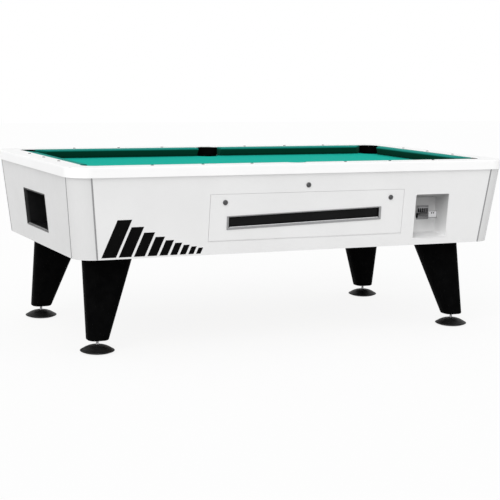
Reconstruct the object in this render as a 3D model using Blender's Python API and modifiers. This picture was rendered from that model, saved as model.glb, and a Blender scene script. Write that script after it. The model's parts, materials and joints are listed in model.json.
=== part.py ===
"""Coin-operated pool table: cabinet, slate bed, lifting top frame, ball runs, coin chute, legs and feet.

Metres, +Z up. The origin is on the floor under the middle of the table. X runs along the table, with the
ball return box at the -X end, and the coin recess is in the front, which faces -Y.
"""
from math import atan, copysign, cos, degrees, pi, radians, sin, sqrt, tan

import bmesh
import bpy
from mathutils import Matrix, Vector

# Clearances
GAP = 0.0003                    # between touching pieces
DOOR_GAP = 0.0015               # round the access door
SLIDE_CLEARANCE = 0.0004        # round the coin slide

# Playing field and top frame
PLAY_LENGTH = 1.900             # nose to nose
PLAY_WIDTH = 0.950
CUSHION_WIDTH = 0.055           # nose to rail
NOSE_HEIGHT = 0.036             # above the bed
CUSHION_FOOT = 0.024            # how far the cushion's foot lies behind its nose
RAIL_WIDTH = 0.100
RAIL_HEIGHT = 0.044
RAIL_EDGE = 0.006               # rounding of the outer top edge
RAIL_OVERHANG = 0.012           # past the cabinet's top edge

# Pockets
POCKET_RADIUS = 0.056
LINER_WALL = 0.004
SIDE_LINER_RIM = 0.003          # above the rail
CORNER_LINER_RIM = -0.002       # below it, so that the corners read as holes
CORNER_POCKET_OFFSET = 0.032    # pocket centre, out from both nose lines
SIDE_POCKET_OFFSET = 0.045
CORNER_MOUTH = 0.080            # cushion end to the corner of the nose lines
SIDE_MOUTH = 0.132              # between cushion ends
CORNER_FACING = radians(45)
SIDE_FACING = radians(8)

# Cabinet
CABINET_BOTTOM = 0.432
CABINET_HEIGHT = 0.356
TAPER_INSET = 0.039             # each side, top to bottom
CORNER_RADIUS = 0.087
PANEL_THICKNESS = 0.018
FLOOR_THICKNESS = 0.018

# Slate bed
CLOTH_THICKNESS = 0.001
SLATE_THICKNESS = 0.020
SLATE_MARGIN = 0.105            # past the nose lines
SLATE_CORNER = 0.030
SLATE_HOLE_CLEARANCE = 0.002    # round a pocket liner
BEAM_WIDTH = 0.040
BEAM_HEIGHT = 0.066
BEAM_OFFSET = 0.035             # beam centre, in from the nose line

# Balls and their runs
BALL_DIAMETER = 0.057
RUN_WALL = 0.0035
RUNWAY_WIDTH = 0.100
RUNWAY_INNER_EDGE = 0.003       # inner wall, in from the nose line
RUNWAY_END = 0.050              # past the corner pockets' centres
RUNWAY_SPACER_END = 0.032       # spacers end this far short of the corner pockets' centres
SPACER_CLEARANCE = 0.020        # from the door's ends
RUNWAY_TOP_DEPTH = 0.006        # under the slate
RUNWAY_LOW_DEPTH = 0.078
RUNWAY_HIGH_DEPTH = 0.063
RUNWAY_FLOOR = 0.004
CROSS_RUN_X = 0.510
CROSS_RUN_WIDTH = 0.085
RUN_WALL_HEIGHT = 0.045
GALLERY_CLEARANCE = 0.0045      # to the front panel
GALLERY_RIGHT = 0.565
GALLERY_FRONT_LIP = 0.010
GALLERY_END_CLEARANCE = 0.058   # to the left end panel
RETURN_RUN_FALL = 0.0105

# Access door and ball window
DOOR_LEFT = -0.457
DOOR_RIGHT = 0.528
DOOR_BOTTOM_MARGIN = 0.058      # over the cabinet's lower edge
DOOR_TOP_MARGIN = 0.086         # under the cabinet's top edge
DOOR_PIVOT_RISE = 0.011
DOOR_PIN_RADIUS = 0.004
DOOR_PIN_LENGTH = 0.012
DOOR_LOWER_EDGE = 0.0065        # rounding of the lower edges
WINDOW_X = 0.019
WINDOW_SHARE = 0.4387           # height of its middle on the door
WINDOW_TILT = radians(1.57)     # up to the right, as the balls roll left
WINDOW_WIDTH = 0.784
WINDOW_HEIGHT = 0.062
WINDOW_BAR = 0.0095
WINDOW_PROUD = 0.003
WINDOW_DEPTH = 0.009
GLASS_THICKNESS = 0.004

# Locks
DOOR_LOCK_INSET = 0.071         # from the door's ends
DOOR_LOCK_DROP = 0.036          # from the door's top
TOP_LOCK_X = 0.021
TOP_LOCK_DROP = 0.053           # from the cabinet's top
LOCK_HEAD_RADIUS = 0.0115
LOCK_HEAD_HEIGHT = 0.0035
LOCK_BARREL_RADIUS = 0.009
LOCK_REACH = 0.030              # behind the panel's face
CAM_LENGTH = 0.034
DOOR_CAM_OVERLAP = 0.012        # behind the front panel, over the door's top edge
CAM_WIDTH = 0.009
CAM_THICKNESS = 0.003
KEEPER_WIDTH = 0.020
KEEPER_THICKNESS = 0.0025
KEEPER_OFFSET = 0.025           # from the lock's axis
KEEPER_TAB = 0.0095
KEEPER_PANEL_CLEARANCE = 0.002

# Ball return box
RETURN_WIDTH = 0.344
RETURN_HEIGHT = 0.170
RETURN_STEP = 0.0092            # opening's edge under the return run's end
RETURN_WALL = 0.003
RETURN_BACK_CLEARANCE = 0.006   # past the return run

# Coin recess, chute and slide
RECESS_LEFT = 0.597
RECESS_RIGHT = 0.782
RECESS_BOTTOM_MARGIN = 0.031
RECESS_TOP_MARGIN = 0.113
RECESS_DEPTH = 0.124            # from the cabinet's top edge
RECESS_WALL = 0.003
COIN_OFFSET = 0.0125            # chute, right of the recess's middle
COIN_SHARE = 0.4976             # height of the slide's middle in the recess
FLANGE_WIDTH = 0.064
FLANGE_HEIGHT = 0.066
FLANGE_THICKNESS = 0.004
CHUTE_WIDTH = 0.059
CHUTE_LENGTH = 0.160
CHUTE_BASE = 0.012              # under the slide
CHUTE_ROOF = 0.0035
SLIDE_WIDTH = 0.049
SLIDE_THICKNESS = 0.013
SLIDE_PROJECTION = 0.090        # from the recess's back
SLIDE_TAIL = 0.035              # out of the chute's rear
SLIDE_LIP_HEIGHT = 0.033
SLIDE_LIP_THICKNESS = 0.006
COIN_SLOTS = 5
COIN_SLOT_PITCH = 0.0095
COIN_SLOT_WIDTH = 0.004
COIN_SLOT_LENGTH = 0.024
COIN_SLOT_SETBACK = 0.021       # from the chute's face
COIN_HEADROOM = 0.0225          # over the slide
COIN_DROP = 0.044               # width of the hole in the chute's base
SLIDE_TRAVEL = 0.080
RAMP_RISE = 0.0224              # lifts the release bar's finger
RAMP_LENGTH = 0.095
CASH_BOX_LENGTH = 0.114
CASH_BOX_DEPTH = 0.095
CASH_BOX_HEADROOM = 0.0143      # under the chute
CASH_BOX_WALL = 0.002
CASH_BOX_CLEARANCE = 0.019      # behind the recess

# Ball release bar
GATE_X = -0.400
SHAFT_RADIUS = 0.005
SHAFT_BEHIND_SLIDE = 0.085
SHAFT_RISE = 0.0315             # over the middle of the slide
SHAFT_END = 0.012
ARM_WIDTH = 0.008
ARM_HEIGHT = 0.012
FINGER_CLEARANCE = 0.0008
GATE_WIDTH = 0.040
GATE_THICKNESS = 0.004
GATE_FLOOR_CLEARANCE = 0.006
EAR_THICKNESS = 0.0065
EAR_HEIGHT = 0.030
EAR_MARGIN = 0.015
GALLERY_EAR_OFFSET = 0.030      # right of the gate

# Piano hinge of the top frame
HINGE_LENGTH = 1.800
HINGE_KNUCKLES = 7
HINGE_RADIUS = 0.0045
HINGE_PIN_RADIUS = 0.002
HINGE_OUT = 0.0068              # axis, behind the cabinet's top edge
HINGE_DROP = 0.0065             # axis, under the cabinet's top edge
HINGE_LEAF = 0.0015
HINGE_LEAF_HEIGHT = 0.036
HINGE_STRIP = 0.0012
HINGE_WEB = 0.003

# Legs and feet
FOOT_INSET_X = 0.1315           # foot centre, in from the cabinet's lower edge
FOOT_INSET_Y = 0.135
LEG_TOP_X = 0.201
LEG_TOP_Y = 0.161
LEG_FOOT = 0.080
LEG_SPLAY_X = 0.0705            # leg's top centre, in from its foot
LEG_SPLAY_Y = 0.0759
LEG_LOWER_END = 0.055
LEG_ROUNDING = 24               # per cent of the section's width
LEG_LOWER_EDGE = 0.010
STUD_RADIUS = 0.0065
STUD_LENGTH = 0.086
BORE_SPARE = 0.016              # bore over the stud's end
PAD_RADIUS = 0.0765
PAD_HEIGHT = 0.0375
PAD_RIM_HEIGHT = 0.011
PAD_BASE_RADIUS = 0.045
PAD_SOCKET = 0.0095

ROUND_STEPS = 32

# Worked out from the sizes above
FIELD_X = PLAY_LENGTH / 2
FIELD_Y = PLAY_WIDTH / 2
RAIL_IN_X = FIELD_X + CUSHION_WIDTH
RAIL_IN_Y = FIELD_Y + CUSHION_WIDTH
RAIL_OUT_X = RAIL_IN_X + RAIL_WIDTH
RAIL_OUT_Y = RAIL_IN_Y + RAIL_WIDTH
RAIL_CORNER = CORNER_RADIUS + RAIL_OVERHANG
CABINET_X = RAIL_OUT_X - RAIL_OVERHANG
CABINET_Y = RAIL_OUT_Y - RAIL_OVERHANG
CABINET_TOP = CABINET_BOTTOM + CABINET_HEIGHT
TAPER = TAPER_INSET / CABINET_HEIGHT
LEAN = atan(TAPER)
RAIL_BOTTOM = CABINET_TOP + GAP
RAIL_TOP = RAIL_BOTTOM + RAIL_HEIGHT
BED_TOP = CABINET_TOP - GAP
SLATE_TOP = BED_TOP - CLOTH_THICKNESS - GAP
SLATE_BOTTOM = SLATE_TOP - SLATE_THICKNESS
SLATE_X = FIELD_X + SLATE_MARGIN
SLATE_Y = FIELD_Y + SLATE_MARGIN
CORNER_POCKET = (FIELD_X + CORNER_POCKET_OFFSET, FIELD_Y + CORNER_POCKET_OFFSET)
SIDE_POCKET = (0.0, FIELD_Y + SIDE_POCKET_OFFSET)
LINER_RADIUS = POCKET_RADIUS + LINER_WALL
FLOOR_TOP = CABINET_BOTTOM + FLOOR_THICKNESS
DOOR_BOTTOM = CABINET_BOTTOM + DOOR_BOTTOM_MARGIN
DOOR_TOP = CABINET_TOP - DOOR_TOP_MARGIN
WINDOW_Z = DOOR_BOTTOM + WINDOW_SHARE * (DOOR_TOP - DOOR_BOTTOM)
RECESS_BOTTOM = CABINET_BOTTOM + RECESS_BOTTOM_MARGIN
RECESS_TOP = CABINET_TOP - RECESS_TOP_MARGIN
COIN_Z = RECESS_BOTTOM + COIN_SHARE * (RECESS_TOP - RECESS_BOTTOM)
BALL_RADIUS = BALL_DIAMETER / 2
RUN_SLOPE = tan(WINDOW_TILT)
COIN_X = (RECESS_LEFT + RECESS_RIGHT) / 2 + COIN_OFFSET
RECESS_BACK = RECESS_DEPTH - CABINET_Y
SLIDE_TOP = COIN_Z + SLIDE_THICKNESS / 2
SLIDE_FRONT = RECESS_BACK - SLIDE_PROJECTION
CHUTE_BACK = RECESS_BACK + CHUTE_LENGTH
SLIDE_BACK = CHUTE_BACK + SLIDE_TAIL
SHAFT_Y = SLIDE_BACK + SHAFT_BEHIND_SLIDE
SHAFT_Z = COIN_Z + SHAFT_RISE
DOOR_PIVOT_Z = DOOR_BOTTOM + DOOR_PIVOT_RISE
DOOR_PIVOT_Y = TAPER * (CABINET_TOP - DOOR_PIVOT_Z) + PANEL_THICKNESS / 2 - CABINET_Y
HINGE_Y = CABINET_Y + HINGE_OUT
HINGE_Z = CABINET_TOP - HINGE_DROP
FOOT_X = CABINET_X - TAPER_INSET - FOOT_INSET_X
FOOT_Y = CABINET_Y - TAPER_INSET - FOOT_INSET_Y

WHITE = ((0.85, 0.85, 0.85), 0.35, 0.0)
BLACK = ((0.012, 0.012, 0.013), 0.45, 0.0)
GREEN = ((0.015, 0.42, 0.34), 0.95, 0.0)
STEEL = ((0.55, 0.55, 0.56), 0.30, 1.0)
ALUMINIUM = ((0.72, 0.72, 0.73), 0.35, 1.0)
SLATE = ((0.10, 0.11, 0.12), 0.70, 0.0)
TIMBER = ((0.52, 0.38, 0.24), 0.65, 0.0)
SMOKED = ((0.01, 0.01, 0.01), 0.08, 0.0)


# Scene and helpers

for old in list(bpy.data.objects):
    bpy.data.objects.remove(old)

PARTS = bpy.data.collections.new("pool_table")
CUTTERS = bpy.data.collections.new("pool_table_cutters")
for collection in (PARTS, CUTTERS):
    bpy.context.scene.collection.children.link(collection)


def drop(z):
    """How far the tapered cabinet has drawn in at height z."""
    return TAPER * (CABINET_TOP - z)


def front_inside(z):
    """Y of the front panel's inner face."""
    return drop(z) + PANEL_THICKNESS - CABINET_Y


def left_inside(z):
    """X of the left end panel's inner face."""
    return drop(z) + PANEL_THICKNESS - CABINET_X


def gallery_floor(x):
    """Top of the ball gallery's floor, one ball radius under the window's middle line."""
    return WINDOW_Z - BALL_RADIUS + RUN_SLOPE * (x - WINDOW_X)


def front_frame(x, z):
    """Frame on the front panel's outer face: local +Y goes in, local +Z goes up along the face."""
    return Matrix.Translation((x, drop(z) - CABINET_Y, z)) @ Matrix.Rotation(LEAN, 4, "X")


def paint(obj, finish):
    colour, roughness, metallic = finish
    material = bpy.data.materials.new(obj.name)
    material.use_nodes = True
    shader = material.node_tree.nodes["Principled BSDF"]
    shader.inputs["Base Color"].default_value = (*colour, 1.0)
    shader.inputs["Roughness"].default_value = roughness
    shader.inputs["Metallic"].default_value = metallic
    obj.data.materials.clear()
    obj.data.materials.append(material)


def add_mesh(name, bm, finish=None, matrix=None):
    """Object from a bmesh: a part when it has a finish, otherwise a cutter."""
    mesh = bpy.data.meshes.new(name)
    bm.to_mesh(mesh)
    bm.free()
    if matrix:
        mesh.transform(matrix)
    obj = bpy.data.objects.new(name, mesh)
    if finish:
        PARTS.objects.link(obj)
        paint(obj, finish)
    else:
        CUTTERS.objects.link(obj)
        obj.hide_render = True
        obj.display_type = "WIRE"
    return obj


def box(name, low, high, finish=None, matrix=None):
    low, high = Vector(low), Vector(high)
    bm = bmesh.new()
    place = Matrix.Translation((low + high) / 2) @ Matrix.Diagonal((*(high - low), 1.0))
    bmesh.ops.create_cube(bm, size=1.0, matrix=place)
    return add_mesh(name, bm, finish, matrix)


def sloped_box(name, low, high, slope_x=0.0, slope_y=0.0, finish=None):
    """Box whose floor and roof rise by slope_x along X and slope_y along Y from the origin."""
    obj = box(name, low, high, finish)
    for vertex in obj.data.vertices:
        vertex.co.z += slope_x * vertex.co.x + slope_y * vertex.co.y
    return obj


def cylinder(name, start, end, radius, finish=None, steps=ROUND_STEPS):
    start, end = Vector(start), Vector(end)
    axis = end - start
    place = Matrix.Translation((start + end) / 2) @ axis.to_track_quat("Z", "Y").to_matrix().to_4x4()
    bm = bmesh.new()
    bmesh.ops.create_cone(bm, cap_ends=True, segments=steps, radius1=radius, radius2=radius,
                          depth=axis.length, matrix=place)
    return add_mesh(name, bm, finish)


def plate(name, outline, bottom, top, finish=None):
    """Flat outline in XY, given a thickness in Z."""
    curve = bpy.data.curves.new(name, "CURVE")
    curve.dimensions = "2D"
    curve.fill_mode = "BOTH"
    curve.extrude = (top - bottom) / 2
    spline = curve.splines.new("POLY")
    spline.points.add(len(outline) - 1)
    for point, (x, y) in zip(spline.points, outline):
        point.co = (x, y, 0.0, 1.0)
    spline.use_cyclic_u = True
    guide = bpy.data.objects.new(name, curve)
    CUTTERS.objects.link(guide)
    mesh = bpy.data.meshes.new_from_object(guide.evaluated_get(bpy.context.evaluated_depsgraph_get()))
    bpy.data.objects.remove(guide)
    bm = bmesh.new()
    bm.from_mesh(mesh)
    bpy.data.meshes.remove(mesh)
    bmesh.ops.remove_doubles(bm, verts=bm.verts, dist=0.00002)
    return add_mesh(name, bm, finish, Matrix.Translation((0, 0, (bottom + top) / 2)))


def turned(name, profile, finish=None, matrix=None, steps=ROUND_STEPS):
    """Profile of (radius, height) points, top to bottom, turned about Z."""
    bm = bmesh.new()
    points = [bm.verts.new((radius, 0.0, height)) for radius, height in profile]
    for first, second in zip(points, points[1:]):
        bm.edges.new((first, second))
    obj = add_mesh(name, bm, finish)
    screw = obj.modifiers.new("turn", "SCREW")
    screw.steps = screw.render_steps = steps
    screw.use_merge_vertices = True
    screw.merge_threshold = 0.00001
    screw.use_smooth_shade = True
    if matrix:
        obj.matrix_world = matrix
    return obj


def solid_copy(obj):
    """Plain mesh of an object with its modifiers applied, in place."""
    bpy.context.view_layer.update()
    mesh = bpy.data.meshes.new_from_object(obj.evaluated_get(bpy.context.evaluated_depsgraph_get()))
    mesh.transform(obj.matrix_world)
    obj.modifiers.clear()
    obj.matrix_world = Matrix()
    obj.data = mesh
    return obj


def boolean(obj, tool, operation):
    modifier = obj.modifiers.new(tool.name, "BOOLEAN")
    modifier.operation = operation
    modifier.object = tool
    modifier.solver = "EXACT"


def cut(obj, *tools):
    for tool in tools:
        boolean(obj, tool, "DIFFERENCE")


def unite(obj, *tools):
    for tool in tools:
        boolean(obj, tool, "UNION")


def lean(obj, along_x=False, along_y=False, only=lambda co: True):
    """Draws an upright shape in with the cabinet's taper."""
    for vertex in obj.data.vertices:
        if only(vertex.co):
            inset = drop(vertex.co.z)
            if along_x:
                vertex.co.x -= copysign(inset, vertex.co.x)
            if along_y:
                vertex.co.y -= copysign(inset, vertex.co.y)
    return obj


def arc(centre, radius, start, end, steps):
    """Points on a circle between two angles in degrees."""
    turn = [radians(start + (end - start) * step / steps) for step in range(steps + 1)]
    return [(centre[0] + radius * cos(angle), centre[1] + radius * sin(angle)) for angle in turn]


def mirrored(outline, sign_x, sign_y):
    return [(sign_x * x, sign_y * y) for x, y in outline]


def rounded_rectangle(half_x, half_y, radius, steps=10):
    outline = []
    for quarter, (sign_x, sign_y) in enumerate(((1, 1), (-1, 1), (-1, -1), (1, -1))):
        centre = (sign_x * (half_x - radius), sign_y * (half_y - radius))
        outline += arc(centre, radius, 90 * quarter, 90 * quarter + 90, steps)
    return outline


def carry(name, pivot, parts, parent=None):
    """Empty on a joint's axis, with the pieces that move with it as its children."""
    empty = bpy.data.objects.new(name, None)
    PARTS.objects.link(empty)
    empty.location = pivot
    if parent:
        empty.parent = parent
        empty.location = Vector(pivot) - parent.matrix_world.translation
    bpy.context.view_layer.update()
    for part in parts:
        part.parent = empty
        part.matrix_parent_inverse = empty.matrix_world.inverted()
    return empty


CORNERS = [("front_left", -1, -1), ("front_right", 1, -1), ("rear_left", -1, 1), ("rear_right", 1, 1)]


# Cabinet

def wall_panels():
    """Four tapered boards between the corner posts, with the openings of the front and the left end."""
    end_x = CABINET_X - CORNER_RADIUS - GAP
    end_y = CABINET_Y - CORNER_RADIUS - GAP
    skin = PANEL_THICKNESS
    spans = {
        "front_panel": ((-end_x, -CABINET_Y), (end_x, skin - CABINET_Y)),
        "rear_panel": ((-end_x, CABINET_Y - skin), (end_x, CABINET_Y)),
        "left_end_panel": ((-CABINET_X, -end_y), (skin - CABINET_X, end_y)),
        "right_end_panel": ((CABINET_X - skin, -end_y), (CABINET_X, end_y)),
    }
    panels = {}
    for name, (low, high) in spans.items():
        panel = box(name, (*low, CABINET_BOTTOM), (*high, CABINET_TOP), WHITE)
        panels[name] = lean(panel, along_x=True, along_y=True)

    outside = -CABINET_Y - PANEL_THICKNESS
    inside = front_inside(CABINET_BOTTOM) + PANEL_THICKNESS
    door_hole = box("door_opening", (DOOR_LEFT - DOOR_GAP, outside, DOOR_BOTTOM - DOOR_GAP),
                    (DOOR_RIGHT + DOOR_GAP, inside, DOOR_TOP + DOOR_GAP))
    recess_hole = box("recess_opening", (RECESS_LEFT, outside, RECESS_BOTTOM),
                      (RECESS_RIGHT, inside, RECESS_TOP))
    pin_bore = cylinder("door_pin_bore", (DOOR_LEFT - DOOR_PIN_LENGTH - GAP, DOOR_PIVOT_Y, DOOR_PIVOT_Z),
                        (DOOR_RIGHT + DOOR_PIN_LENGTH + GAP, DOOR_PIVOT_Y, DOOR_PIVOT_Z),
                        DOOR_PIN_RADIUS + GAP, steps=16)
    cut(panels["front_panel"], door_hole, recess_hole, pin_bore,
        lock_bore("top_lock_bore", TOP_LOCK_X, CABINET_TOP - TOP_LOCK_DROP))
    return_hole = box("return_opening", (-CABINET_X - PANEL_THICKNESS, -RETURN_WIDTH / 2, RETURN_BOTTOM),
                      (left_inside(CABINET_BOTTOM) + PANEL_THICKNESS, RETURN_WIDTH / 2, RETURN_TOP))
    cut(panels["left_end_panel"], return_hole)


def corner_posts():
    """Quarter-round posts between the panels."""
    centre = (CABINET_X - CORNER_RADIUS, CABINET_Y - CORNER_RADIUS)
    outline = arc(centre, CORNER_RADIUS, 0, 90, 12)
    outline += arc(centre, CORNER_RADIUS - PANEL_THICKNESS, 90, 0, 12)
    for corner, sign_x, sign_y in CORNERS:
        post = plate(f"corner_post_{corner}", mirrored(outline, sign_x, sign_y),
                     CABINET_BOTTOM, CABINET_TOP, WHITE)
        lean(post, along_x=True, along_y=True)


def floor_board():
    inset = PANEL_THICKNESS + GAP
    outline = rounded_rectangle(CABINET_X - inset, CABINET_Y - inset, CORNER_RADIUS - inset)
    board = plate("floor_board", outline, CABINET_BOTTOM, FLOOR_TOP, TIMBER)
    lean(board, along_x=True, along_y=True)


def pocket_centres():
    centres = [("side_front", SIDE_POCKET[0], -SIDE_POCKET[1]), ("side_rear", *SIDE_POCKET)]
    for corner, sign_x, sign_y in CORNERS:
        centres.append((corner, sign_x * CORNER_POCKET[0], sign_y * CORNER_POCKET[1]))
    return centres


def slate_and_cloth():
    """Slate with six pocket holes, and the cloth on it."""
    outline = rounded_rectangle(SLATE_X, SLATE_Y, SLATE_CORNER, steps=4)
    slate = plate("slate_bed", outline, SLATE_BOTTOM, SLATE_TOP, SLATE)
    cloth = plate("bed_cloth", outline, SLATE_TOP + GAP, BED_TOP, GREEN)
    for name, x, y in pocket_centres():
        hole = cylinder(f"slate_hole_{name}", (x, y, SLATE_BOTTOM - SLATE_THICKNESS),
                        (x, y, BED_TOP + SLATE_THICKNESS), LINER_RADIUS + SLATE_HOLE_CLEARANCE)
        cut(slate, hole)
        cut(cloth, hole)


def slate_beams():
    """Beams from end panel to end panel under the slate. The rear one is notched over the cross runway."""
    top = SLATE_BOTTOM - GAP
    middle = FIELD_Y - BEAM_OFFSET
    end = CABINET_X - PANEL_THICKNESS - GAP
    for name, sign in (("front_slate_beam", -1), ("rear_slate_beam", 1)):
        beam = box(name, (-end, sign * middle - BEAM_WIDTH / 2, top - BEAM_HEIGHT),
                   (end, sign * middle + BEAM_WIDTH / 2, top), TIMBER)
        lean(beam, along_x=True)
        roof = cross_run_floor(sign * middle + BEAM_WIDTH / 2) + BALL_DIAMETER + RUNWAY_FLOOR
        if roof > top - BEAM_HEIGHT:
            half = CROSS_RUN_WIDTH / 2 + RUN_WALL
            notch_low = (CROSS_RUN_X - half, sign * middle - BEAM_WIDTH, top - 2 * BEAM_HEIGHT)
            notch_high = (CROSS_RUN_X + half, sign * middle + BEAM_WIDTH, roof)
            cut(beam, box(f"{name}_notch", notch_low, notch_high))


# Ball runs

RUNWAY_IN = FIELD_Y - RUNWAY_INNER_EDGE
RUNWAY_OUT = RUNWAY_IN + RUNWAY_WIDTH
RUNWAY_TOP = SLATE_BOTTOM - RUNWAY_TOP_DEPTH
RUNWAY_LOW = SLATE_BOTTOM - RUNWAY_LOW_DEPTH
RUNWAY_HIGH = SLATE_BOTTOM - RUNWAY_HIGH_DEPTH
RUNWAY_X = CORNER_POCKET[0] + RUNWAY_END
GALLERY_LEFT = left_inside(WINDOW_Z) + GALLERY_END_CLEARANCE
GALLERY_FRONT = front_inside(gallery_floor(GALLERY_LEFT) - RUNWAY_FLOOR) + GALLERY_CLEARANCE
GALLERY_WIDTH = BALL_DIAMETER + 4 * RUN_WALL
GALLERY_BACK = GALLERY_FRONT + GALLERY_WIDTH
RETURN_SIDE = RETURN_WIDTH / 2 - GAP
RETURN_BOTTOM = gallery_floor(GALLERY_LEFT) - RETURN_RUN_FALL - RETURN_STEP
RETURN_TOP = RETURN_BOTTOM + RETURN_HEIGHT
CROSS_RUN_REAR = RUNWAY_IN - GAP
CROSS_RUN_FRONT = GALLERY_BACK - RUN_WALL
CROSS_REAR_FLOOR = RUNWAY_LOW - RUN_WALL
CROSS_FRONT_FLOOR = gallery_floor(CROSS_RUN_X + CROSS_RUN_WIDTH / 2) + RUN_WALL_HEIGHT + RUNWAY_FLOOR + GAP
CROSS_SLOPE = (CROSS_REAR_FLOOR - CROSS_FRONT_FLOOR) / (CROSS_RUN_REAR - CROSS_RUN_FRONT)


def cross_run_floor(y):
    return CROSS_FRONT_FLOOR + CROSS_SLOPE * (y - CROSS_RUN_FRONT)


def runways():
    """Front and rear runways under the pockets. Both fall from their ends to the cross runway."""
    exit_half = CROSS_RUN_WIDTH / 2 - 2 * RUN_WALL
    spacer_end = CORNER_POCKET[0] - RUNWAY_SPACER_END
    for name, sign in (("front_runway", -1), ("rear_runway", 1)):
        near, far = sorted((sign * RUNWAY_IN, sign * RUNWAY_OUT))
        run = box(name, (-RUNWAY_X, near, RUNWAY_LOW - RUNWAY_FLOOR), (RUNWAY_X, far, RUNWAY_TOP), TIMBER)
        wall_face = CABINET_Y - PANEL_THICKNESS - GAP
        spacers = (("left", -spacer_end, DOOR_LEFT - SPACER_CLEARANCE),
                   ("right", DOOR_RIGHT + SPACER_CLEARANCE, spacer_end))
        for side, low_x, high_x in spacers:
            inner, outer = sorted((sign * (RUNWAY_OUT - RUN_WALL / 2), sign * wall_face))
            spacer = box(f"{name}_spacer_{side}", (low_x, inner, RUNWAY_LOW),
                         (high_x, outer, RUNWAY_TOP - GAP))
            unite(run, lean(spacer, along_y=True, only=lambda co: abs(co.y) > RUNWAY_OUT))
        inner, outer = near + RUN_WALL, far - RUN_WALL
        reach = RUNWAY_X - RUN_WALL
        falls = (("left", -reach, CROSS_RUN_X + exit_half), ("right", CROSS_RUN_X - exit_half, reach))
        for side, low_x, high_x in falls:
            end_x = low_x if side == "left" else high_x
            slope = (RUNWAY_HIGH - RUNWAY_LOW) / (end_x - CROSS_RUN_X)
            base = RUNWAY_LOW - slope * CROSS_RUN_X
            channel = sloped_box(f"{name}_{side}_channel", (low_x, inner, base),
                                 (high_x, outer, base + RUNWAY_LOW_DEPTH), slope_x=slope)
            cut(run, channel)
        if sign < 0:
            drop_low = (CROSS_RUN_X - exit_half, inner, RUNWAY_LOW - 2 * RUNWAY_FLOOR)
            drop_high = (CROSS_RUN_X + exit_half, far + RUN_WALL, RUNWAY_TOP + RUN_WALL)
        else:
            drop_low = (CROSS_RUN_X - exit_half, near - RUN_WALL, RUNWAY_LOW + GAP)
            drop_high = (CROSS_RUN_X + exit_half, inner + RUN_WALL, RUNWAY_TOP + RUN_WALL)
        cut(run, box(f"{name}_exit", drop_low, drop_high))


def cross_runway():
    """Takes the rear balls forward and drops them into the gallery's high end."""
    half = CROSS_RUN_WIDTH / 2
    base = cross_run_floor(0.0)
    run = sloped_box("cross_runway", (CROSS_RUN_X - half, CROSS_RUN_FRONT, base - RUNWAY_FLOOR),
                     (CROSS_RUN_X + half, CROSS_RUN_REAR, base + RUN_WALL_HEIGHT), slope_y=CROSS_SLOPE,
                     finish=TIMBER)
    inside = half - RUN_WALL
    channel_low = (CROSS_RUN_X - inside, CROSS_RUN_FRONT - RUN_WALL, base)
    channel_high = (CROSS_RUN_X + inside, CROSS_RUN_REAR + RUN_WALL, base + 2 * RUN_WALL_HEIGHT)
    cut(run, sloped_box("cross_runway_channel", channel_low, channel_high, slope_y=CROSS_SLOPE))


def ball_gallery():
    """Tray behind the window, sloping left past the gate, then along the left end into the return box."""
    base = gallery_floor(0.0)
    tray = sloped_box("ball_gallery", (GALLERY_LEFT, GALLERY_FRONT, base - RUNWAY_FLOOR),
                      (GALLERY_RIGHT, GALLERY_BACK, base + RUN_WALL_HEIGHT), slope_x=RUN_SLOPE, finish=BLACK)
    run_right = GALLERY_LEFT + GALLERY_WIDTH
    run_end = -RETURN_SIDE - GAP
    run_start_floor = gallery_floor(GALLERY_LEFT)
    run_slope = -RETURN_RUN_FALL / (run_end - GALLERY_BACK)
    run_base = run_start_floor - run_slope * GALLERY_BACK
    run = sloped_box("return_run", (GALLERY_LEFT, GALLERY_BACK - RUN_WALL / 2, run_base - RUNWAY_FLOOR),
                     (run_right, run_end, run_base + RUN_WALL_HEIGHT), slope_y=run_slope)
    ear_x = GATE_X + GALLERY_EAR_OFFSET
    ear = box("gallery_ear", (ear_x, GALLERY_BACK - RUN_WALL / 2, SHAFT_Z - EAR_HEIGHT),
              (ear_x + EAR_THICKNESS, SHAFT_Y + EAR_MARGIN, SHAFT_Z + EAR_MARGIN))
    unite(tray, run, ear)
    over = base + 2 * RUN_WALL_HEIGHT
    tray_channel = sloped_box("gallery_channel", (GALLERY_LEFT + RUN_WALL, GALLERY_FRONT + RUN_WALL, base),
                              (GALLERY_RIGHT - RUN_WALL, GALLERY_BACK - RUN_WALL, over), slope_x=RUN_SLOPE)
    front_lip = sloped_box("gallery_front_view",
                           (GALLERY_LEFT - RUN_WALL, GALLERY_FRONT - RUN_WALL, base + GALLERY_FRONT_LIP),
                           (GALLERY_RIGHT + RUN_WALL, GALLERY_FRONT + 2 * RUN_WALL, over), slope_x=RUN_SLOPE)
    run_channel = sloped_box("return_run_channel",
                             (GALLERY_LEFT + RUN_WALL, GALLERY_BACK - 2 * RUN_WALL, run_base),
                             (run_right - RUN_WALL, run_end + RUN_WALL, run_base + 2 * RUN_WALL_HEIGHT),
                             slope_y=run_slope)
    bore = cylinder("gallery_ear_bore", (ear_x - EAR_THICKNESS, SHAFT_Y, SHAFT_Z),
                    (ear_x + 2 * EAR_THICKNESS, SHAFT_Y, SHAFT_Z), SHAFT_RADIUS + GAP, steps=16)
    cut(tray, tray_channel, front_lip, run_channel, bore)


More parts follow.
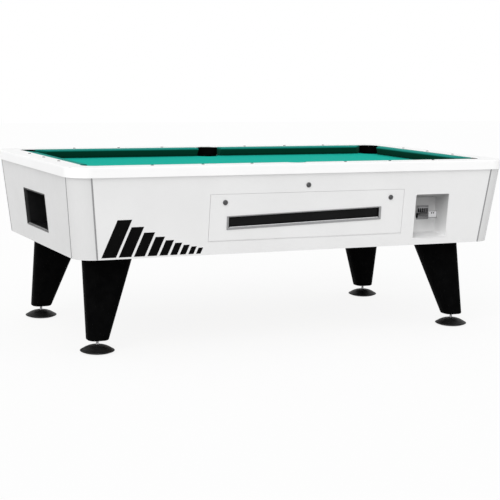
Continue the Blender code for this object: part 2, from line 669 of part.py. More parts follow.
def return_box():
    """Open box in the left end that the balls roll into, with a hole in its side for the return run."""
    back = GALLERY_LEFT + GALLERY_WIDTH + RETURN_BACK_CLEARANCE
    low, high = RETURN_BOTTOM + GAP, RETURN_TOP - GAP
    case = box("return_box", (-CABINET_X, -RETURN_SIDE, low), (back, RETURN_SIDE, high), BLACK)
    lean(case, along_x=True, only=lambda co: co.x < back - RETURN_WALL)
    inside = RETURN_SIDE - RETURN_WALL
    hollow = box("return_hollow", (-CABINET_X - PANEL_THICKNESS, -inside, low + RETURN_WALL),
                 (back - RETURN_WALL, inside, high - RETURN_WALL))
    floor = gallery_floor(GALLERY_LEFT) - RETURN_RUN_FALL
    inlet_right = GALLERY_LEFT + GALLERY_WIDTH - RUN_WALL
    inlet = box("return_inlet", (GALLERY_LEFT + RUN_WALL, -RETURN_SIDE - RETURN_WALL, floor),
                (inlet_right, RETURN_WALL - inside, floor + BALL_DIAMETER + RUN_WALL))
    cut(case, hollow, inlet)


# Access door, window and locks

def lock_bore(name, x, z):
    place = front_frame(x, z)
    outer = place @ Vector((0, -PANEL_THICKNESS, 0))
    inner = place @ Vector((0, 2 * PANEL_THICKNESS, 0))
    return cylinder(name, outer, inner, LOCK_BARREL_RADIUS + GAP)


def lock(name, x, z, cam_direction, cam_length):
    """Cylinder lock on the panel's face, with its cam behind the panel, pointing along cam_direction."""
    place = front_frame(x, z)
    head, barrel = LOCK_HEAD_RADIUS, LOCK_BARREL_RADIUS
    profile = [(0.0, LOCK_HEAD_HEIGHT), (head - GAP, LOCK_HEAD_HEIGHT), (head, LOCK_HEAD_HEIGHT - GAP),
               (head, GAP), (barrel, GAP), (barrel, -LOCK_REACH), (0.0, -LOCK_REACH)]
    obj = solid_copy(turned(name, profile, STEEL, place @ Matrix.Rotation(pi / 2, 4, "X"), steps=24))
    half = CAM_WIDTH / 2
    turn = Matrix.Rotation(cam_direction, 4, "Y")
    cam = box(f"{name}_cam", (-half, LOCK_REACH - CAM_THICKNESS, -half), (cam_length, LOCK_REACH, half),
              matrix=place @ turn)
    unite(obj, cam)
    return obj


def door_locks():
    """The cams lie along the door while it is free, and turn up behind the front panel."""
    z = DOOR_TOP - DOOR_LOCK_DROP
    reach = DOOR_LOCK_DROP + DOOR_GAP + DOOR_CAM_OVERLAP
    left = lock("door_lock_left", DOOR_LEFT + DOOR_LOCK_INSET, z, 0.0, reach)
    right = lock("door_lock_right", DOOR_RIGHT - DOOR_LOCK_INSET, z, pi, reach)
    return left, right


def window_frame_matrix():
    return front_frame(WINDOW_X, WINDOW_Z) @ Matrix.Rotation(-WINDOW_TILT, 4, "Y")


def access_door():
    """Door that tilts out on two pins at its lower edge, with the window's opening and two lock bores."""
    skin = PANEL_THICKNESS
    door = box("access_door", (DOOR_LEFT, -CABINET_Y, DOOR_BOTTOM), (DOOR_RIGHT, skin - CABINET_Y, DOOR_TOP),
               WHITE)
    lean(door, along_y=True)
    bm = bmesh.new()
    bm.from_mesh(door.data)
    lower = [edge for edge in bm.edges
             if all(abs(vertex.co.z - DOOR_BOTTOM) < GAP for vertex in edge.verts)
             and edge.calc_length() > 2 * skin]
    bmesh.ops.bevel(bm, geom=lower, offset=DOOR_LOWER_EDGE, segments=3, profile=0.5, affect="EDGES")
    bm.to_mesh(door.data)
    bm.free()
    pins = cylinder("door_pins", (DOOR_LEFT - DOOR_PIN_LENGTH, DOOR_PIVOT_Y, DOOR_PIVOT_Z),
                    (DOOR_RIGHT + DOOR_PIN_LENGTH, DOOR_PIVOT_Y, DOOR_PIVOT_Z), DOOR_PIN_RADIUS, steps=16)
    unite(door, pins)
    half_x, half_z = WINDOW_WIDTH / 2 + GAP, WINDOW_HEIGHT / 2 + GAP
    hole = box("window_opening", (-half_x, -skin, -half_z), (half_x, 2 * skin, half_z),
               matrix=window_frame_matrix())
    z = DOOR_TOP - DOOR_LOCK_DROP
    cut(door, hole, lock_bore("door_lock_left_bore", DOOR_LEFT + DOOR_LOCK_INSET, z),
        lock_bore("door_lock_right_bore", DOOR_RIGHT - DOOR_LOCK_INSET, z))
    return door


def ball_window():
    """Aluminium frame and the smoked glass behind it."""
    place = window_frame_matrix()
    half_x, half_z = WINDOW_WIDTH / 2, WINDOW_HEIGHT / 2
    frame = box("window_frame", (-half_x, -WINDOW_PROUD, -half_z), (half_x, WINDOW_DEPTH, half_z),
                ALUMINIUM, place)
    cut(frame, box("window_light", (WINDOW_BAR - half_x, -2 * WINDOW_PROUD, WINDOW_BAR - half_z),
                   (half_x - WINDOW_BAR, 2 * WINDOW_DEPTH, half_z - WINDOW_BAR), matrix=place))
    back = WINDOW_DEPTH + GAP
    glass = box("window_glass", (-half_x, back, -half_z), (half_x, back + GLASS_THICKNESS, half_z),
                SMOKED, place)
    return frame, glass


# Coin recess, chute and slide

def coin_recess():
    """White box let into the front panel. The chute passes through its back."""
    side, wall = GAP, RECESS_WALL
    low = (RECESS_LEFT + side, -CABINET_Y, RECESS_BOTTOM + side)
    high = (RECESS_RIGHT - side, RECESS_BACK + wall, RECESS_TOP - side)
    case = box("coin_recess", low, high, WHITE)
    lean(case, along_y=True, only=lambda co: co.y < RECESS_BACK)
    hollow = box("recess_hollow", (low[0] + wall, -CABINET_Y - PANEL_THICKNESS, low[2] + wall),
                 (high[0] - wall, RECESS_BACK, high[2] - wall))
    half = CHUTE_WIDTH / 2 + GAP
    passage = box("chute_passage", (COIN_X - half, RECESS_BACK - wall, CHUTE_LOW - GAP),
                  (COIN_X + half, RECESS_BACK + 2 * wall, CHUTE_HIGH + GAP))
    cut(case, hollow, passage)


SLIDE_SLOT_Y = RECESS_BACK - FLANGE_THICKNESS - COIN_SLOT_SETBACK - COIN_SLOT_LENGTH
CHUTE_LOW = COIN_Z - SLIDE_THICKNESS / 2 - SLIDE_CLEARANCE - CHUTE_BASE
COIN_CEILING = SLIDE_TOP + COIN_HEADROOM
CHUTE_HIGH = COIN_CEILING + CHUTE_ROOF


def coin_slots(name, low_y, high_y, low_z, high_z):
    """Upright slots side by side, for coins on edge."""
    tools = []
    for index in range(COIN_SLOTS):
        x = COIN_X + (index - (COIN_SLOTS - 1) / 2) * COIN_SLOT_PITCH
        tools.append(box(f"{name}_{index}", (x - COIN_SLOT_WIDTH / 2, low_y, low_z),
                         (x + COIN_SLOT_WIDTH / 2, high_y, high_z)))
    return tools


def coin_chute():
    """Face plate on the recess's back, the housing behind it, and two ears that carry the release bar."""
    face_back = RECESS_BACK - GAP
    face_front = face_back - FLANGE_THICKNESS
    middle_z = (CHUTE_LOW + CHUTE_HIGH) / 2
    chute = box("coin_chute", (COIN_X - FLANGE_WIDTH / 2, face_front, middle_z - FLANGE_HEIGHT / 2),
                (COIN_X + FLANGE_WIDTH / 2, face_back, middle_z + FLANGE_HEIGHT / 2), STEEL)
    body = box("chute_body", (COIN_X - CHUTE_WIDTH / 2, face_front + FLANGE_THICKNESS / 2, CHUTE_LOW),
               (COIN_X + CHUTE_WIDTH / 2, CHUTE_BACK, CHUTE_HIGH))
    unite(chute, body)
    ear_low = SHAFT_Z - EAR_MARGIN
    ear_high = SHAFT_Z + EAR_MARGIN
    for side, sign in (("left", -1), ("right", 1)):
        inner = SLIDE_WIDTH / 2 + 2 * SLIDE_CLEARANCE
        edges = sorted((COIN_X + sign * CHUTE_WIDTH / 2, COIN_X + sign * inner))
        unite(chute, box(f"chute_ear_{side}", (edges[0], CHUTE_BACK - EAR_MARGIN, ear_low),
                         (edges[1], SHAFT_Y + EAR_MARGIN, ear_high)))
    half = SLIDE_WIDTH / 2 + SLIDE_CLEARANCE
    slide_low = COIN_Z - SLIDE_THICKNESS / 2 - SLIDE_CLEARANCE
    passage = box("slide_passage", (COIN_X - half, face_front - FLANGE_THICKNESS, slide_low),
                  (COIN_X + half, CHUTE_BACK + EAR_MARGIN, SLIDE_TOP + SLIDE_CLEARANCE))
    coin_room = box("coin_room", (COIN_X - half, face_back, slide_low),
                    (COIN_X + half, CHUTE_BACK + FLANGE_THICKNESS, COIN_CEILING))
    drop_y = SLIDE_SLOT_Y + SLIDE_TRAVEL
    coin_drop = box("coin_drop", (COIN_X - COIN_DROP / 2, drop_y, CHUTE_LOW - FLANGE_THICKNESS),
                    (COIN_X + COIN_DROP / 2, drop_y + COIN_SLOT_LENGTH, COIN_Z))
    bore = cylinder("chute_ear_bore", (COIN_X - CHUTE_WIDTH, SHAFT_Y, SHAFT_Z),
                    (COIN_X + CHUTE_WIDTH, SHAFT_Y, SHAFT_Z), SHAFT_RADIUS + GAP, steps=16)
    cut(chute, passage, coin_room, coin_drop, bore)
    cut(chute, *coin_slots("face_slot", face_front - FLANGE_THICKNESS, face_back + FLANGE_THICKNESS,
                           COIN_Z, COIN_CEILING - COIN_SLOT_WIDTH / 2))


def coin_slide():
    """Bar with coin slots, a finger lip at the front and a ramp at the rear."""
    half = SLIDE_WIDTH / 2
    low = COIN_Z - SLIDE_THICKNESS / 2
    slide = box("coin_slide", (COIN_X - half, SLIDE_FRONT, low), (COIN_X + half, SLIDE_BACK, SLIDE_TOP),
                STEEL)
    lip_low = COIN_Z + SLIDE_THICKNESS / 2 - SLIDE_LIP_HEIGHT / 2
    lip = box("slide_lip", (COIN_X - half, SLIDE_FRONT - SLIDE_LIP_THICKNESS / 2, lip_low),
              (COIN_X + half, SLIDE_FRONT + SLIDE_LIP_THICKNESS / 2, lip_low + SLIDE_LIP_HEIGHT))
    ramp_front = SLIDE_BACK - RAMP_LENGTH
    ramp = box("slide_ramp", (COIN_X - half, ramp_front, COIN_Z),
               (COIN_X + half, SLIDE_BACK, RAMP_TIP + RAMP_RISE))
    trim = sloped_box("slide_ramp_trim", (COIN_X - 2 * half, ramp_front - GAP, RAMP_BASE),
                      (COIN_X + 2 * half, SLIDE_BACK + SLIDE_TAIL, RAMP_BASE + 2 * RAMP_RISE),
                      slope_y=-RAMP_SLOPE)
    unite(slide, lip, ramp)
    cut(slide, trim)
    cut(slide, *coin_slots("slide_slot", SLIDE_SLOT_Y, SLIDE_SLOT_Y + COIN_SLOT_LENGTH,
                           low - SLIDE_THICKNESS, SLIDE_TOP + SLIDE_THICKNESS))
    return slide


RAMP_SLOPE = RAMP_RISE / RAMP_LENGTH
RAMP_TIP = COIN_Z
RAMP_BASE = RAMP_TIP + RAMP_SLOPE * SLIDE_BACK


def ramp_top(behind):
    """Height of the slide's ramp at a distance in front of its rear end."""
    return RAMP_TIP + RAMP_SLOPE * behind


def cash_box():
    """Open tin on the cabinet's floor under the chute's coin drop."""
    front = RECESS_BACK + CASH_BOX_CLEARANCE
    low = FLOOR_TOP + GAP
    high = CHUTE_LOW - CASH_BOX_HEADROOM
    half, wall = CASH_BOX_LENGTH / 2, CASH_BOX_WALL
    tin = box("cash_box", (COIN_X - half, front, low), (COIN_X + half, front + CASH_BOX_DEPTH, high), STEEL)
    cut(tin, box("cash_hollow", (COIN_X - half + wall, front + wall, low + wall),
                 (COIN_X + half - wall, front + CASH_BOX_DEPTH - wall, high + CASH_BOX_DEPTH)))


def ball_release_bar():
    """Shaft across the table, with a finger on the slide's ramp and the gate arm over the gallery."""
    shaft = cylinder("ball_release_bar", (GATE_X - SHAFT_END, SHAFT_Y, SHAFT_Z),
                     (COIN_X + CHUTE_WIDTH / 2 + SHAFT_END, SHAFT_Y, SHAFT_Z), SHAFT_RADIUS, STEEL, steps=16)
    half_x, half_z = ARM_WIDTH / 2, ARM_HEIGHT / 2
    finger_y = SLIDE_BACK - ARM_WIDTH / 2
    finger = box("release_finger", (COIN_X - half_x, finger_y - half_x, SHAFT_Z - half_z),
                 (COIN_X + half_x, SHAFT_Y + GAP, SHAFT_Z + half_z))
    finger_low = ramp_top(ARM_WIDTH) + FINGER_CLEARANCE
    tip = box("release_finger_tip", (COIN_X - half_x, finger_y - half_x, finger_low),
              (COIN_X + half_x, finger_y + half_x, SHAFT_Z))
    gate_y = GALLERY_FRONT + GALLERY_WIDTH / 2
    arm = box("gate_arm", (GATE_X - half_x, gate_y - GATE_WIDTH / 2, SHAFT_Z - half_z),
              (GATE_X + half_x, SHAFT_Y + GAP, SHAFT_Z + half_z))
    gate = box("gate_plate", (GATE_X - GATE_THICKNESS / 2, gate_y - GATE_WIDTH / 2,
                              gallery_floor(GATE_X) + GATE_FLOOR_CLEARANCE),
               (GATE_X + GATE_THICKNESS / 2, gate_y + GATE_WIDTH / 2, SHAFT_Z))
    unite(shaft, finger, tip, arm, gate)
    return shaft


# Top frame

def half_turn_outline(outline):
    return [(-x, -y) for x, y in outline]


def long_rail_outline():
    """Rear rail in plan: outer edge with half of each rounded corner, pockets cut into the inner edge."""
    radius = LINER_RADIUS + GAP
    seam = degrees(GAP / radius / 2)
    outer_seam = degrees(GAP / RAIL_CORNER / 2)
    corner = (RAIL_OUT_X - RAIL_CORNER, RAIL_OUT_Y - RAIL_CORNER)
    rise = RAIL_IN_Y - CORNER_POCKET[1]
    start = degrees(pi - atan(rise / sqrt(radius ** 2 - rise ** 2)))
    side_rise = RAIL_IN_Y - SIDE_POCKET[1]
    side = degrees(atan(side_rise / sqrt(radius ** 2 - side_rise ** 2)))
    half = arc(SIDE_POCKET, radius, 90, side, 8)
    half += arc(CORNER_POCKET, radius, start, 45 + seam, 10)
    half += arc(corner, RAIL_CORNER, 45 + outer_seam, 90, 7)
    return half + [(-x, y) for x, y in reversed(half[1:])]


def short_rail_outline():
    """Right end rail in plan."""
    radius = LINER_RADIUS + GAP
    seam = degrees(GAP / radius / 2)
    outer_seam = degrees(GAP / RAIL_CORNER / 2)
    corner = (RAIL_OUT_X - RAIL_CORNER, RAIL_OUT_Y - RAIL_CORNER)
    rise = RAIL_IN_X - CORNER_POCKET[0]
    start = degrees(-atan(sqrt(radius ** 2 - rise ** 2) / rise))
    half = arc(corner, RAIL_CORNER, 0, 45 - outer_seam, 7)
    half += arc(CORNER_POCKET, radius, 45 - seam, start, 10)
    return half + [(x, -y) for x, y in reversed(half)]


def round_outer_edge(rail):
    """Rounds the rail's outer top edge."""
    bm = bmesh.new()
    bm.from_mesh(rail.data)

    def on_outer_top(vertex):
        reach_x = abs(vertex.co.x) - (RAIL_OUT_X - RAIL_CORNER)
        reach_y = abs(vertex.co.y) - (RAIL_OUT_Y - RAIL_CORNER)
        in_corner = reach_x > GAP and reach_y > GAP
        reach = sqrt(reach_x ** 2 + reach_y ** 2) if in_corner else max(reach_x, reach_y)
        return vertex.co.z > RAIL_TOP - GAP and reach > RAIL_CORNER - GAP

    edges = [edge for edge in bm.edges
             if all(on_outer_top(vertex) for vertex in edge.verts) and edge.calc_face_angle(0) > LEAN]
    bmesh.ops.bevel(bm, geom=edges, offset=RAIL_EDGE, segments=3, profile=0.5, affect="EDGES")
    bm.to_mesh(rail.data)
    bm.free()


def rails():
    outlines = {
        "rail_rear": long_rail_outline(),
        "rail_front": half_turn_outline(long_rail_outline()),
        "rail_right": short_rail_outline(),
        "rail_left": half_turn_outline(short_rail_outline()),
    }
    made = []
    for name, outline in outlines.items():
        rail = plate(name, outline, RAIL_BOTTOM, RAIL_TOP, WHITE)
        round_outer_edge(rail)
        made.append(rail)
    return made


def cushion(name, start, end, start_facing, end_facing, field, turn):
    """Rubber cushion along +X with its nose on y = field, cut at both ends and turned about Z."""
    back = CUSHION_WIDTH - GAP
    nose = BED_TOP + NOSE_HEIGHT
    over_nose = (CUSHION_WIDTH / 12, nose + (RAIL_TOP - nose) / 2)
    under_nose = (CUSHION_WIDTH / 20, nose - NOSE_HEIGHT / 6)
    profile = [(0.0, nose), over_nose, (back, RAIL_TOP - GAP), (back, RAIL_BOTTOM),
               (CUSHION_FOOT, RAIL_BOTTOM), under_nose]
    obj = plate(name, profile, start, end, GREEN)
    for vertex in obj.data.vertices:
        behind, height, along = vertex.co
        at_start = along < (start + end) / 2
        along += -behind * tan(start_facing) if at_start else behind * tan(end_facing)
        vertex.co = (along, field + behind, height)
    obj.data.transform(Matrix.Rotation(turn, 4, "Z"))
    return obj


def cushions():
    side, corner_x = SIDE_MOUTH / 2, FIELD_X - CORNER_MOUTH
    corner_y = FIELD_Y - CORNER_MOUTH
    made = []
    for name, turn in (("rear", 0.0), ("front", pi)):
        sides = ("left", "right") if turn == 0.0 else ("right", "left")
        first, second = f"cushion_{name}_{sides[0]}", f"cushion_{name}_{sides[1]}"
        made.append(cushion(first, -corner_x, -side, CORNER_FACING, SIDE_FACING, FIELD_Y, turn))
        made.append(cushion(second, side, corner_x, SIDE_FACING, CORNER_FACING, FIELD_Y, turn))
    for name, turn in (("cushion_left_end", pi / 2), ("cushion_right_end", -pi / 2)):
        made.append(cushion(name, -corner_y, corner_y, CORNER_FACING, CORNER_FACING, FIELD_X, turn))
    return made


def pocket_liners():
    """Curved liners in the rails' pocket cuts."""
    made = []
    for name, x, y in pocket_centres():
        rise = RAIL_IN_Y + GAP - abs(y)
        tilt = degrees(atan(rise / sqrt(LINER_RADIUS ** 2 - rise ** 2)))
        start, end = (tilt, 180 - tilt) if x == 0 else (tilt - 90, 180 - tilt)
        outline = arc((abs(x), abs(y)), LINER_RADIUS, start, end, 18)
        outline += arc((abs(x), abs(y)), POCKET_RADIUS, end, start, 18)
        outline = mirrored(outline, -1 if x < 0 else 1, -1 if y < 0 else 1)
        top = RAIL_TOP + (SIDE_LINER_RIM if x == 0 else CORNER_LINER_RIM)
        made.append(plate(f"pocket_liner_{name}", outline, RAIL_BOTTOM, top, BLACK))
    return made


def lock_keeper():
    """Strip hanging from the front rail beside the top lock, with a tab that the cam closes over."""
    x = TOP_LOCK_X + KEEPER_OFFSET
    cam_low = CABINET_TOP - TOP_LOCK_DROP - CAM_WIDTH
    low = cam_low - KEEPER_THICKNESS
    half = KEEPER_WIDTH / 2
    top_front = front_inside(CABINET_TOP) + KEEPER_PANEL_CLEARANCE
    top_back = top_front + KEEPER_THICKNESS
    keeper = box("lock_keeper", (x - half, top_front, low), (x + half, top_back, CABINET_TOP), STEEL)
    lean(keeper, along_y=True)
    front = front_inside(low) + KEEPER_PANEL_CLEARANCE
    unite(keeper, box("keeper_tab", (x - half, front + GAP, low),
                      (x + half, front + KEEPER_TAB, low + KEEPER_THICKNESS)))
    return keeper


def lid_hinge():
    """Piano hinge: the cabinet's leaf holds the pin, and the frame's leaf turns on it."""
    leaf_low = CABINET_TOP - HINGE_DROP - HINGE_LEAF_HEIGHT
    half = HINGE_LENGTH / 2
    lower = box("lid_hinge_cabinet_leaf", (-half, CABINET_Y + GAP, leaf_low),
                (half, CABINET_Y + GAP + HINGE_LEAF, HINGE_Z), STEEL)
    lean(lower, along_y=True)
    strip_low = CABINET_TOP - HINGE_STRIP
    strip_in = CABINET_Y + 2 * GAP
    upper = box("lid_hinge_frame_leaf", (-half, strip_in, strip_low),
                (half, RAIL_OUT_Y - 2 * GAP, CABINET_TOP), STEEL)
    pitch = HINGE_LENGTH / HINGE_KNUCKLES
    for index in range(HINGE_KNUCKLES):
        low_x = -half + index * pitch + GAP
        high_x = low_x + pitch - 2 * GAP
        knuckle = cylinder(f"knuckle_{index}", (low_x, HINGE_Y, HINGE_Z), (high_x, HINGE_Y, HINGE_Z),
                           HINGE_RADIUS, steps=12)
        if index % 2 == 0:
            web = box(f"web_{index}", (low_x, CABINET_Y + GAP, HINGE_Z - HINGE_WEB),
                      (high_x, HINGE_Y, HINGE_Z - GAP))
            unite(lower, knuckle, web)
        else:
            web = box(f"web_{index}", (low_x, HINGE_Y - HINGE_WEB / 2, HINGE_Z),
                      (high_x, HINGE_Y + HINGE_WEB / 2, CABINET_TOP - HINGE_STRIP / 2))
            unite(upper, knuckle, web)
    pin_ends = (-half + pitch / 2, half - pitch / 2)
    unite(lower, cylinder("hinge_pin", (pin_ends[0], HINGE_Y, HINGE_Z), (pin_ends[1], HINGE_Y, HINGE_Z),
                          HINGE_PIN_RADIUS, steps=12))
    cut(upper, cylinder("hinge_bore", (-half, HINGE_Y, HINGE_Z), (half, HINGE_Y, HINGE_Z),
                        HINGE_PIN_RADIUS + GAP, steps=12))
    return upper


# Legs and feet

def leg(name, sign_x, sign_y):
    """Splayed, tapered leg of rounded square section, bored for the foot's stud."""
    foot = Vector((sign_x * FOOT_X, sign_y * FOOT_Y, 0))
    shift = Vector((-sign_x * LEG_SPLAY_X, -sign_y * LEG_SPLAY_Y, 0))
    top = CABINET_BOTTOM - GAP
    bm = bmesh.new()
    bmesh.ops.create_cube(bm, size=1.0)
    for vertex in bm.verts:
        upper = vertex.co.z > 0
        width, depth = (LEG_TOP_X, LEG_TOP_Y) if upper else (LEG_FOOT, LEG_FOOT)
        offset = foot + shift if upper else foot
        height = top if upper else LEG_LOWER_END
        vertex.co = Vector((vertex.co.x * width, vertex.co.y * depth, height)) + offset
    upright = [edge for edge in bm.edges if abs(edge.verts[0].co.z - edge.verts[1].co.z) > LEG_FOOT]
    bmesh.ops.bevel(bm, geom=upright, offset=LEG_ROUNDING, offset_type="PERCENT", segments=5, profile=0.5,
                    affect="EDGES")
    lower = [edge for edge in bm.edges if all(abs(v.co.z - LEG_LOWER_END) < GAP for v in edge.verts)]
    bmesh.ops.bevel(bm, geom=lower, offset=LEG_LOWER_EDGE, segments=2, profile=0.5, affect="EDGES")
    obj = add_mesh(name, bm, BLACK)
    bore_end = foot + Vector((0, 0, STUD_BOTTOM + STUD_LENGTH + BORE_SPARE))
    cut(obj, cylinder(f"{name}_bore", foot + Vector((0, 0, LEG_LOWER_END - LEG_LOWER_EDGE)), bore_end,
                      STUD_RADIUS + GAP, steps=16))


STUD_BOTTOM = PAD_HEIGHT - PAD_SOCKET


def foot(corner, sign_x, sign_y):
    """Domed pad on a stud that screws into the leg."""
    place = Matrix.Translation((sign_x * FOOT_X, sign_y * FOOT_Y, 0))
    boss = STUD_RADIUS * 2
    dome = PAD_HEIGHT - PAD_RIM_HEIGHT
    socket = STUD_RADIUS + GAP
    socket_floor = STUD_BOTTOM - GAP
    profile = [(0.0, socket_floor), (socket, socket_floor), (socket, PAD_HEIGHT), (boss, PAD_HEIGHT)]
    for step in range(1, 8):
        share = step / 7
        profile.append((boss + (PAD_RADIUS - boss) * share, PAD_RIM_HEIGHT + dome * (1 - share ** 2)))
    for step in range(1, 5):
        share = step / 4
        radius = PAD_RADIUS + (PAD_BASE_RADIUS - PAD_RADIUS) * share
        profile.append((radius, PAD_RIM_HEIGHT * (1 - share) ** 2))
    profile.append((0.0, 0.0))
    pad = turned(f"foot_pad_{corner}", profile, BLACK, place)
    stud_top = STUD_BOTTOM + STUD_LENGTH
    stud_profile = [(0.0, stud_top), (STUD_RADIUS, stud_top), (STUD_RADIUS, STUD_BOTTOM), (0.0, STUD_BOTTOM)]
    stud = turned(f"foot_stud_{corner}", stud_profile, STEEL, place, steps=16)
    carry(f"foot_{corner}", place.translation, [pad, stud])


def main():
    wall_panels()
    corner_posts()
    floor_board()
    slate_and_cloth()
    slate_beams()
    runways()
    cross_runway()
    ball_gallery()
    return_box()
    coin_recess()
    coin_chute()
    cash_box()
    for corner, sign_x, sign_y in CORNERS:
        leg(f"leg_{corner}", sign_x, sign_y)
        foot(corner, sign_x, sign_y)
    lid_parts = rails() + cushions() + pocket_liners() + [lid_hinge(), lock_keeper()]
    carry("top_frame", (0, HINGE_Y, HINGE_Z), lid_parts)
    top_lock_z = CABINET_TOP - TOP_LOCK_DROP
    carry("top_lock_turn", front_frame(TOP_LOCK_X, top_lock_z).translation,
          [lock("top_lock", TOP_LOCK_X, top_lock_z, -pi / 2, CAM_LENGTH)])
    door_pivot = carry("door_tilt", (0, DOOR_PIVOT_Y, DOOR_PIVOT_Z), [access_door(), *ball_window()])
    for door_lock in door_locks():
        x = DOOR_LEFT + DOOR_LOCK_INSET if door_lock.name.endswith("left") else DOOR_RIGHT - DOOR_LOCK_INSET
        axis_point = front_frame(x, DOOR_TOP - DOOR_LOCK_DROP).translation
        carry(f"{door_lock.name}_turn", axis_point, [door_lock], door_pivot)
    carry("coin_push", (COIN_X, SLIDE_FRONT, COIN_Z), [coin_slide()])
    carry("ball_release", (GATE_X, SHAFT_Y, SHAFT_Z), [ball_release_bar()])


main()
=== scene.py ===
import json
from math import acos, asin, atan2, copysign, cos, pi, radians, sin, sqrt, tan

import bmesh
import bpy
from mathutils import Matrix, Vector

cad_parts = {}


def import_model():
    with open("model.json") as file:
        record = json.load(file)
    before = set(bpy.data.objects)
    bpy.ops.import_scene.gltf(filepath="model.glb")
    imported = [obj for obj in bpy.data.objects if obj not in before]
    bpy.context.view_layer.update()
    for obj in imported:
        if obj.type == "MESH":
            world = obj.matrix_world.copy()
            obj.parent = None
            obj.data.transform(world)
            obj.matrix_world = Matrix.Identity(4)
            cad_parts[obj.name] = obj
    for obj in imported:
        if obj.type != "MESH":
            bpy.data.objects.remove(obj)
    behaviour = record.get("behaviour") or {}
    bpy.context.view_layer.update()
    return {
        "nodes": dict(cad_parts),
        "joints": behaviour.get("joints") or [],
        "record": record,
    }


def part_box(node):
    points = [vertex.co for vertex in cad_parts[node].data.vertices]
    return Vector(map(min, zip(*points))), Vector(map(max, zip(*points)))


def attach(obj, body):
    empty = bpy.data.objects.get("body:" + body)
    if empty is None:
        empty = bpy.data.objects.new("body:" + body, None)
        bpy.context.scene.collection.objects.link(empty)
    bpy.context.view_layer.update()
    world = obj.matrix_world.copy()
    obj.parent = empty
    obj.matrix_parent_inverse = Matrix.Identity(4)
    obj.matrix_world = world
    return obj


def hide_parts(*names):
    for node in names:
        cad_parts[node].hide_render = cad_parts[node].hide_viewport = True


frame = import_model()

CORNERS = ("front_left", "front_right", "rear_left", "rear_right")
SIDES = ("front", "right", "rear", "left")

# camera, solved for the photograph's frame
IMAGE_SIZE = 500
CAMERA_AZIMUTH = radians(-24.8205)
CAMERA_ELEVATION = radians(8.1122)
CAMERA_DISTANCE = 6.6173
CAMERA_TARGET = Vector((0.0, 0.0, 0.3497))
CAMERA_ROLL = radians(0.927)
FOCAL_PIXELS = 1333.0
PRINCIPAL_POINT = (246.44, 251.19)
SENSOR_WIDTH = 36.0

# light and floor
SKY_STRENGTH = 0.76
SUN_STRENGTH = 0.45 * pi
SUN_AZIMUTH = radians(-42)
SUN_ELEVATION = radians(36)
SUN_ANGLE = radians(50)
FLOOR_SIZE = 40.0
FLOOR_CELLS = 8
FLOOR_WHITE_SHARE = 0.88
WHITE = (1.0, 1.0, 1.0, 1.0)

# cloth and pockets; all lengths are in metres, and a rim is a row of (inward, down) steps
CLOTH_CORNER = 0.03
SLATE_HOLE = 0.062
HOLE_DEPTH = 0.1
HOLE_STEPS = 64
POCKET_STEPS = 48
SKIRT_RADIUS = 0.0617
SKIRT_DEPTH = 0.015
SKIRT_GAP = radians(20)  # left open to each side of a side pocket's back
SKIRT_RIM = ((0.0, 0.0004), (0.0003, 0.0), (0.0006, 0.0001), (0.001, 0.0006))
SLEEVE_RADIUS = 0.0602
SLEEVE_RIM = ((0.0, 0.0012), (0.0006, 0.0006), (0.0014, 0.0008), (0.0018, 0.0016))
LINER_RADIUS = 0.06
LINER_RIM = ((0.0, 0.0008), (0.0006, 0.0), (0.0026, 0.0), (0.0036, 0.0006), (0.004, 0.0018))
POCKET_CUT = 0.0603  # radius of the rails' cuts
CUT_SPARE = 0.0003
RAIL_SPARE = 0.0004  # behind the rails' inner faces
SEAT = 0.0001  # between pieces that lie on each other
CORNER_LIP = (0.96, 0.485, 0.05)  # x, y and radius of the pockets' visible rims
SIDE_LIP = (0.0, 0.505, 0.055)
LIP_STEPS = 40
LIP_RIM = ((0.0008, 0.0), (0.0, 0.0007))
THROAT_OUT, THROAT_IN = 0.002, 0.0004
RAIL_LIFT = 0.0006  # pocket trim, over the rails' feet
BAND_HEAD = 0.0022  # bands, under the rails' tops
BAND_WIDTH = 0.007
BAND_OVERHANG = 0.0008
BAND_SINK = 0.00004
BAND_THICKNESS = 0.00026
BAND_SLOPE = 0.001

# cushions
NOSE_HEIGHT = 0.036
NOSE_RADIUS = 0.0042
NOSE_ARC = (97, 232, 8)  # degrees from the top to the face, and steps
CUSHION_FOOT = 0.024
CUSHION_CROWN = 0.001
CUSHION_HOLLOW = 0.0016
CUSHION_DROP = 0.0004  # under the rails' tops
CUSHION_EDGE = (0.0012, 0.0006, 0.003)
CUSHION_SHARES = (0.0, 0.004, 0.25, 0.5, 0.75, 0.996, 1.0)
LONG_MOUTH = 0.076  # from the field's corner to the end of a long side's nose
SHORT_MOUTH = 0.092
SIDE_MOUTH = 0.129
LONG_FACING = radians(43)
SHORT_FACING = radians(49)
SIDE_FACING = radians(1)
SOFT_EDGE = 0.0014
SOFT_ANGLE = radians(50)

# sights, seam strips and the front's bars
SIGHT_RADIUS = 0.007
SIGHT_HEIGHT = 0.0024
SIGHT_SINK = 0.0006
SIGHT_SETBACK = 0.083  # from the cushion's nose
SIGHT_STEPS = 20
STRIP_WIDTH = 0.0075
STRIP_HEIGHT = 0.0011
STRIP_SINK = 0.0004
STRIP_STEPS = 8
STRIP_FULLNESS = 0.6
STRIP_LIFT, STRIP_SHORT = 0.001, 0.0016
STRIP_ROWS = ((0.0, 0.75), (0.02, 1.0), (0.5, 1.0), (0.98, 1.0), (1.0, 0.75))
CORNER_RADIUS = 0.087  # cabinet's upright corners
BAR_COUNT = 9
BAR_LEFT = -0.95
BAR_LIFT = 0.008
BAR_HEIGHT, BAR_HEIGHT_FALL = 0.165, 0.8
BAR_WIDTH, BAR_WIDTH_FALL = 0.066, 0.87
BAR_GAP = 0.012
BAR_SLANT = tan(radians(22))
BAR_PLATE = (-0.0001, 0.00025, 0.0001)

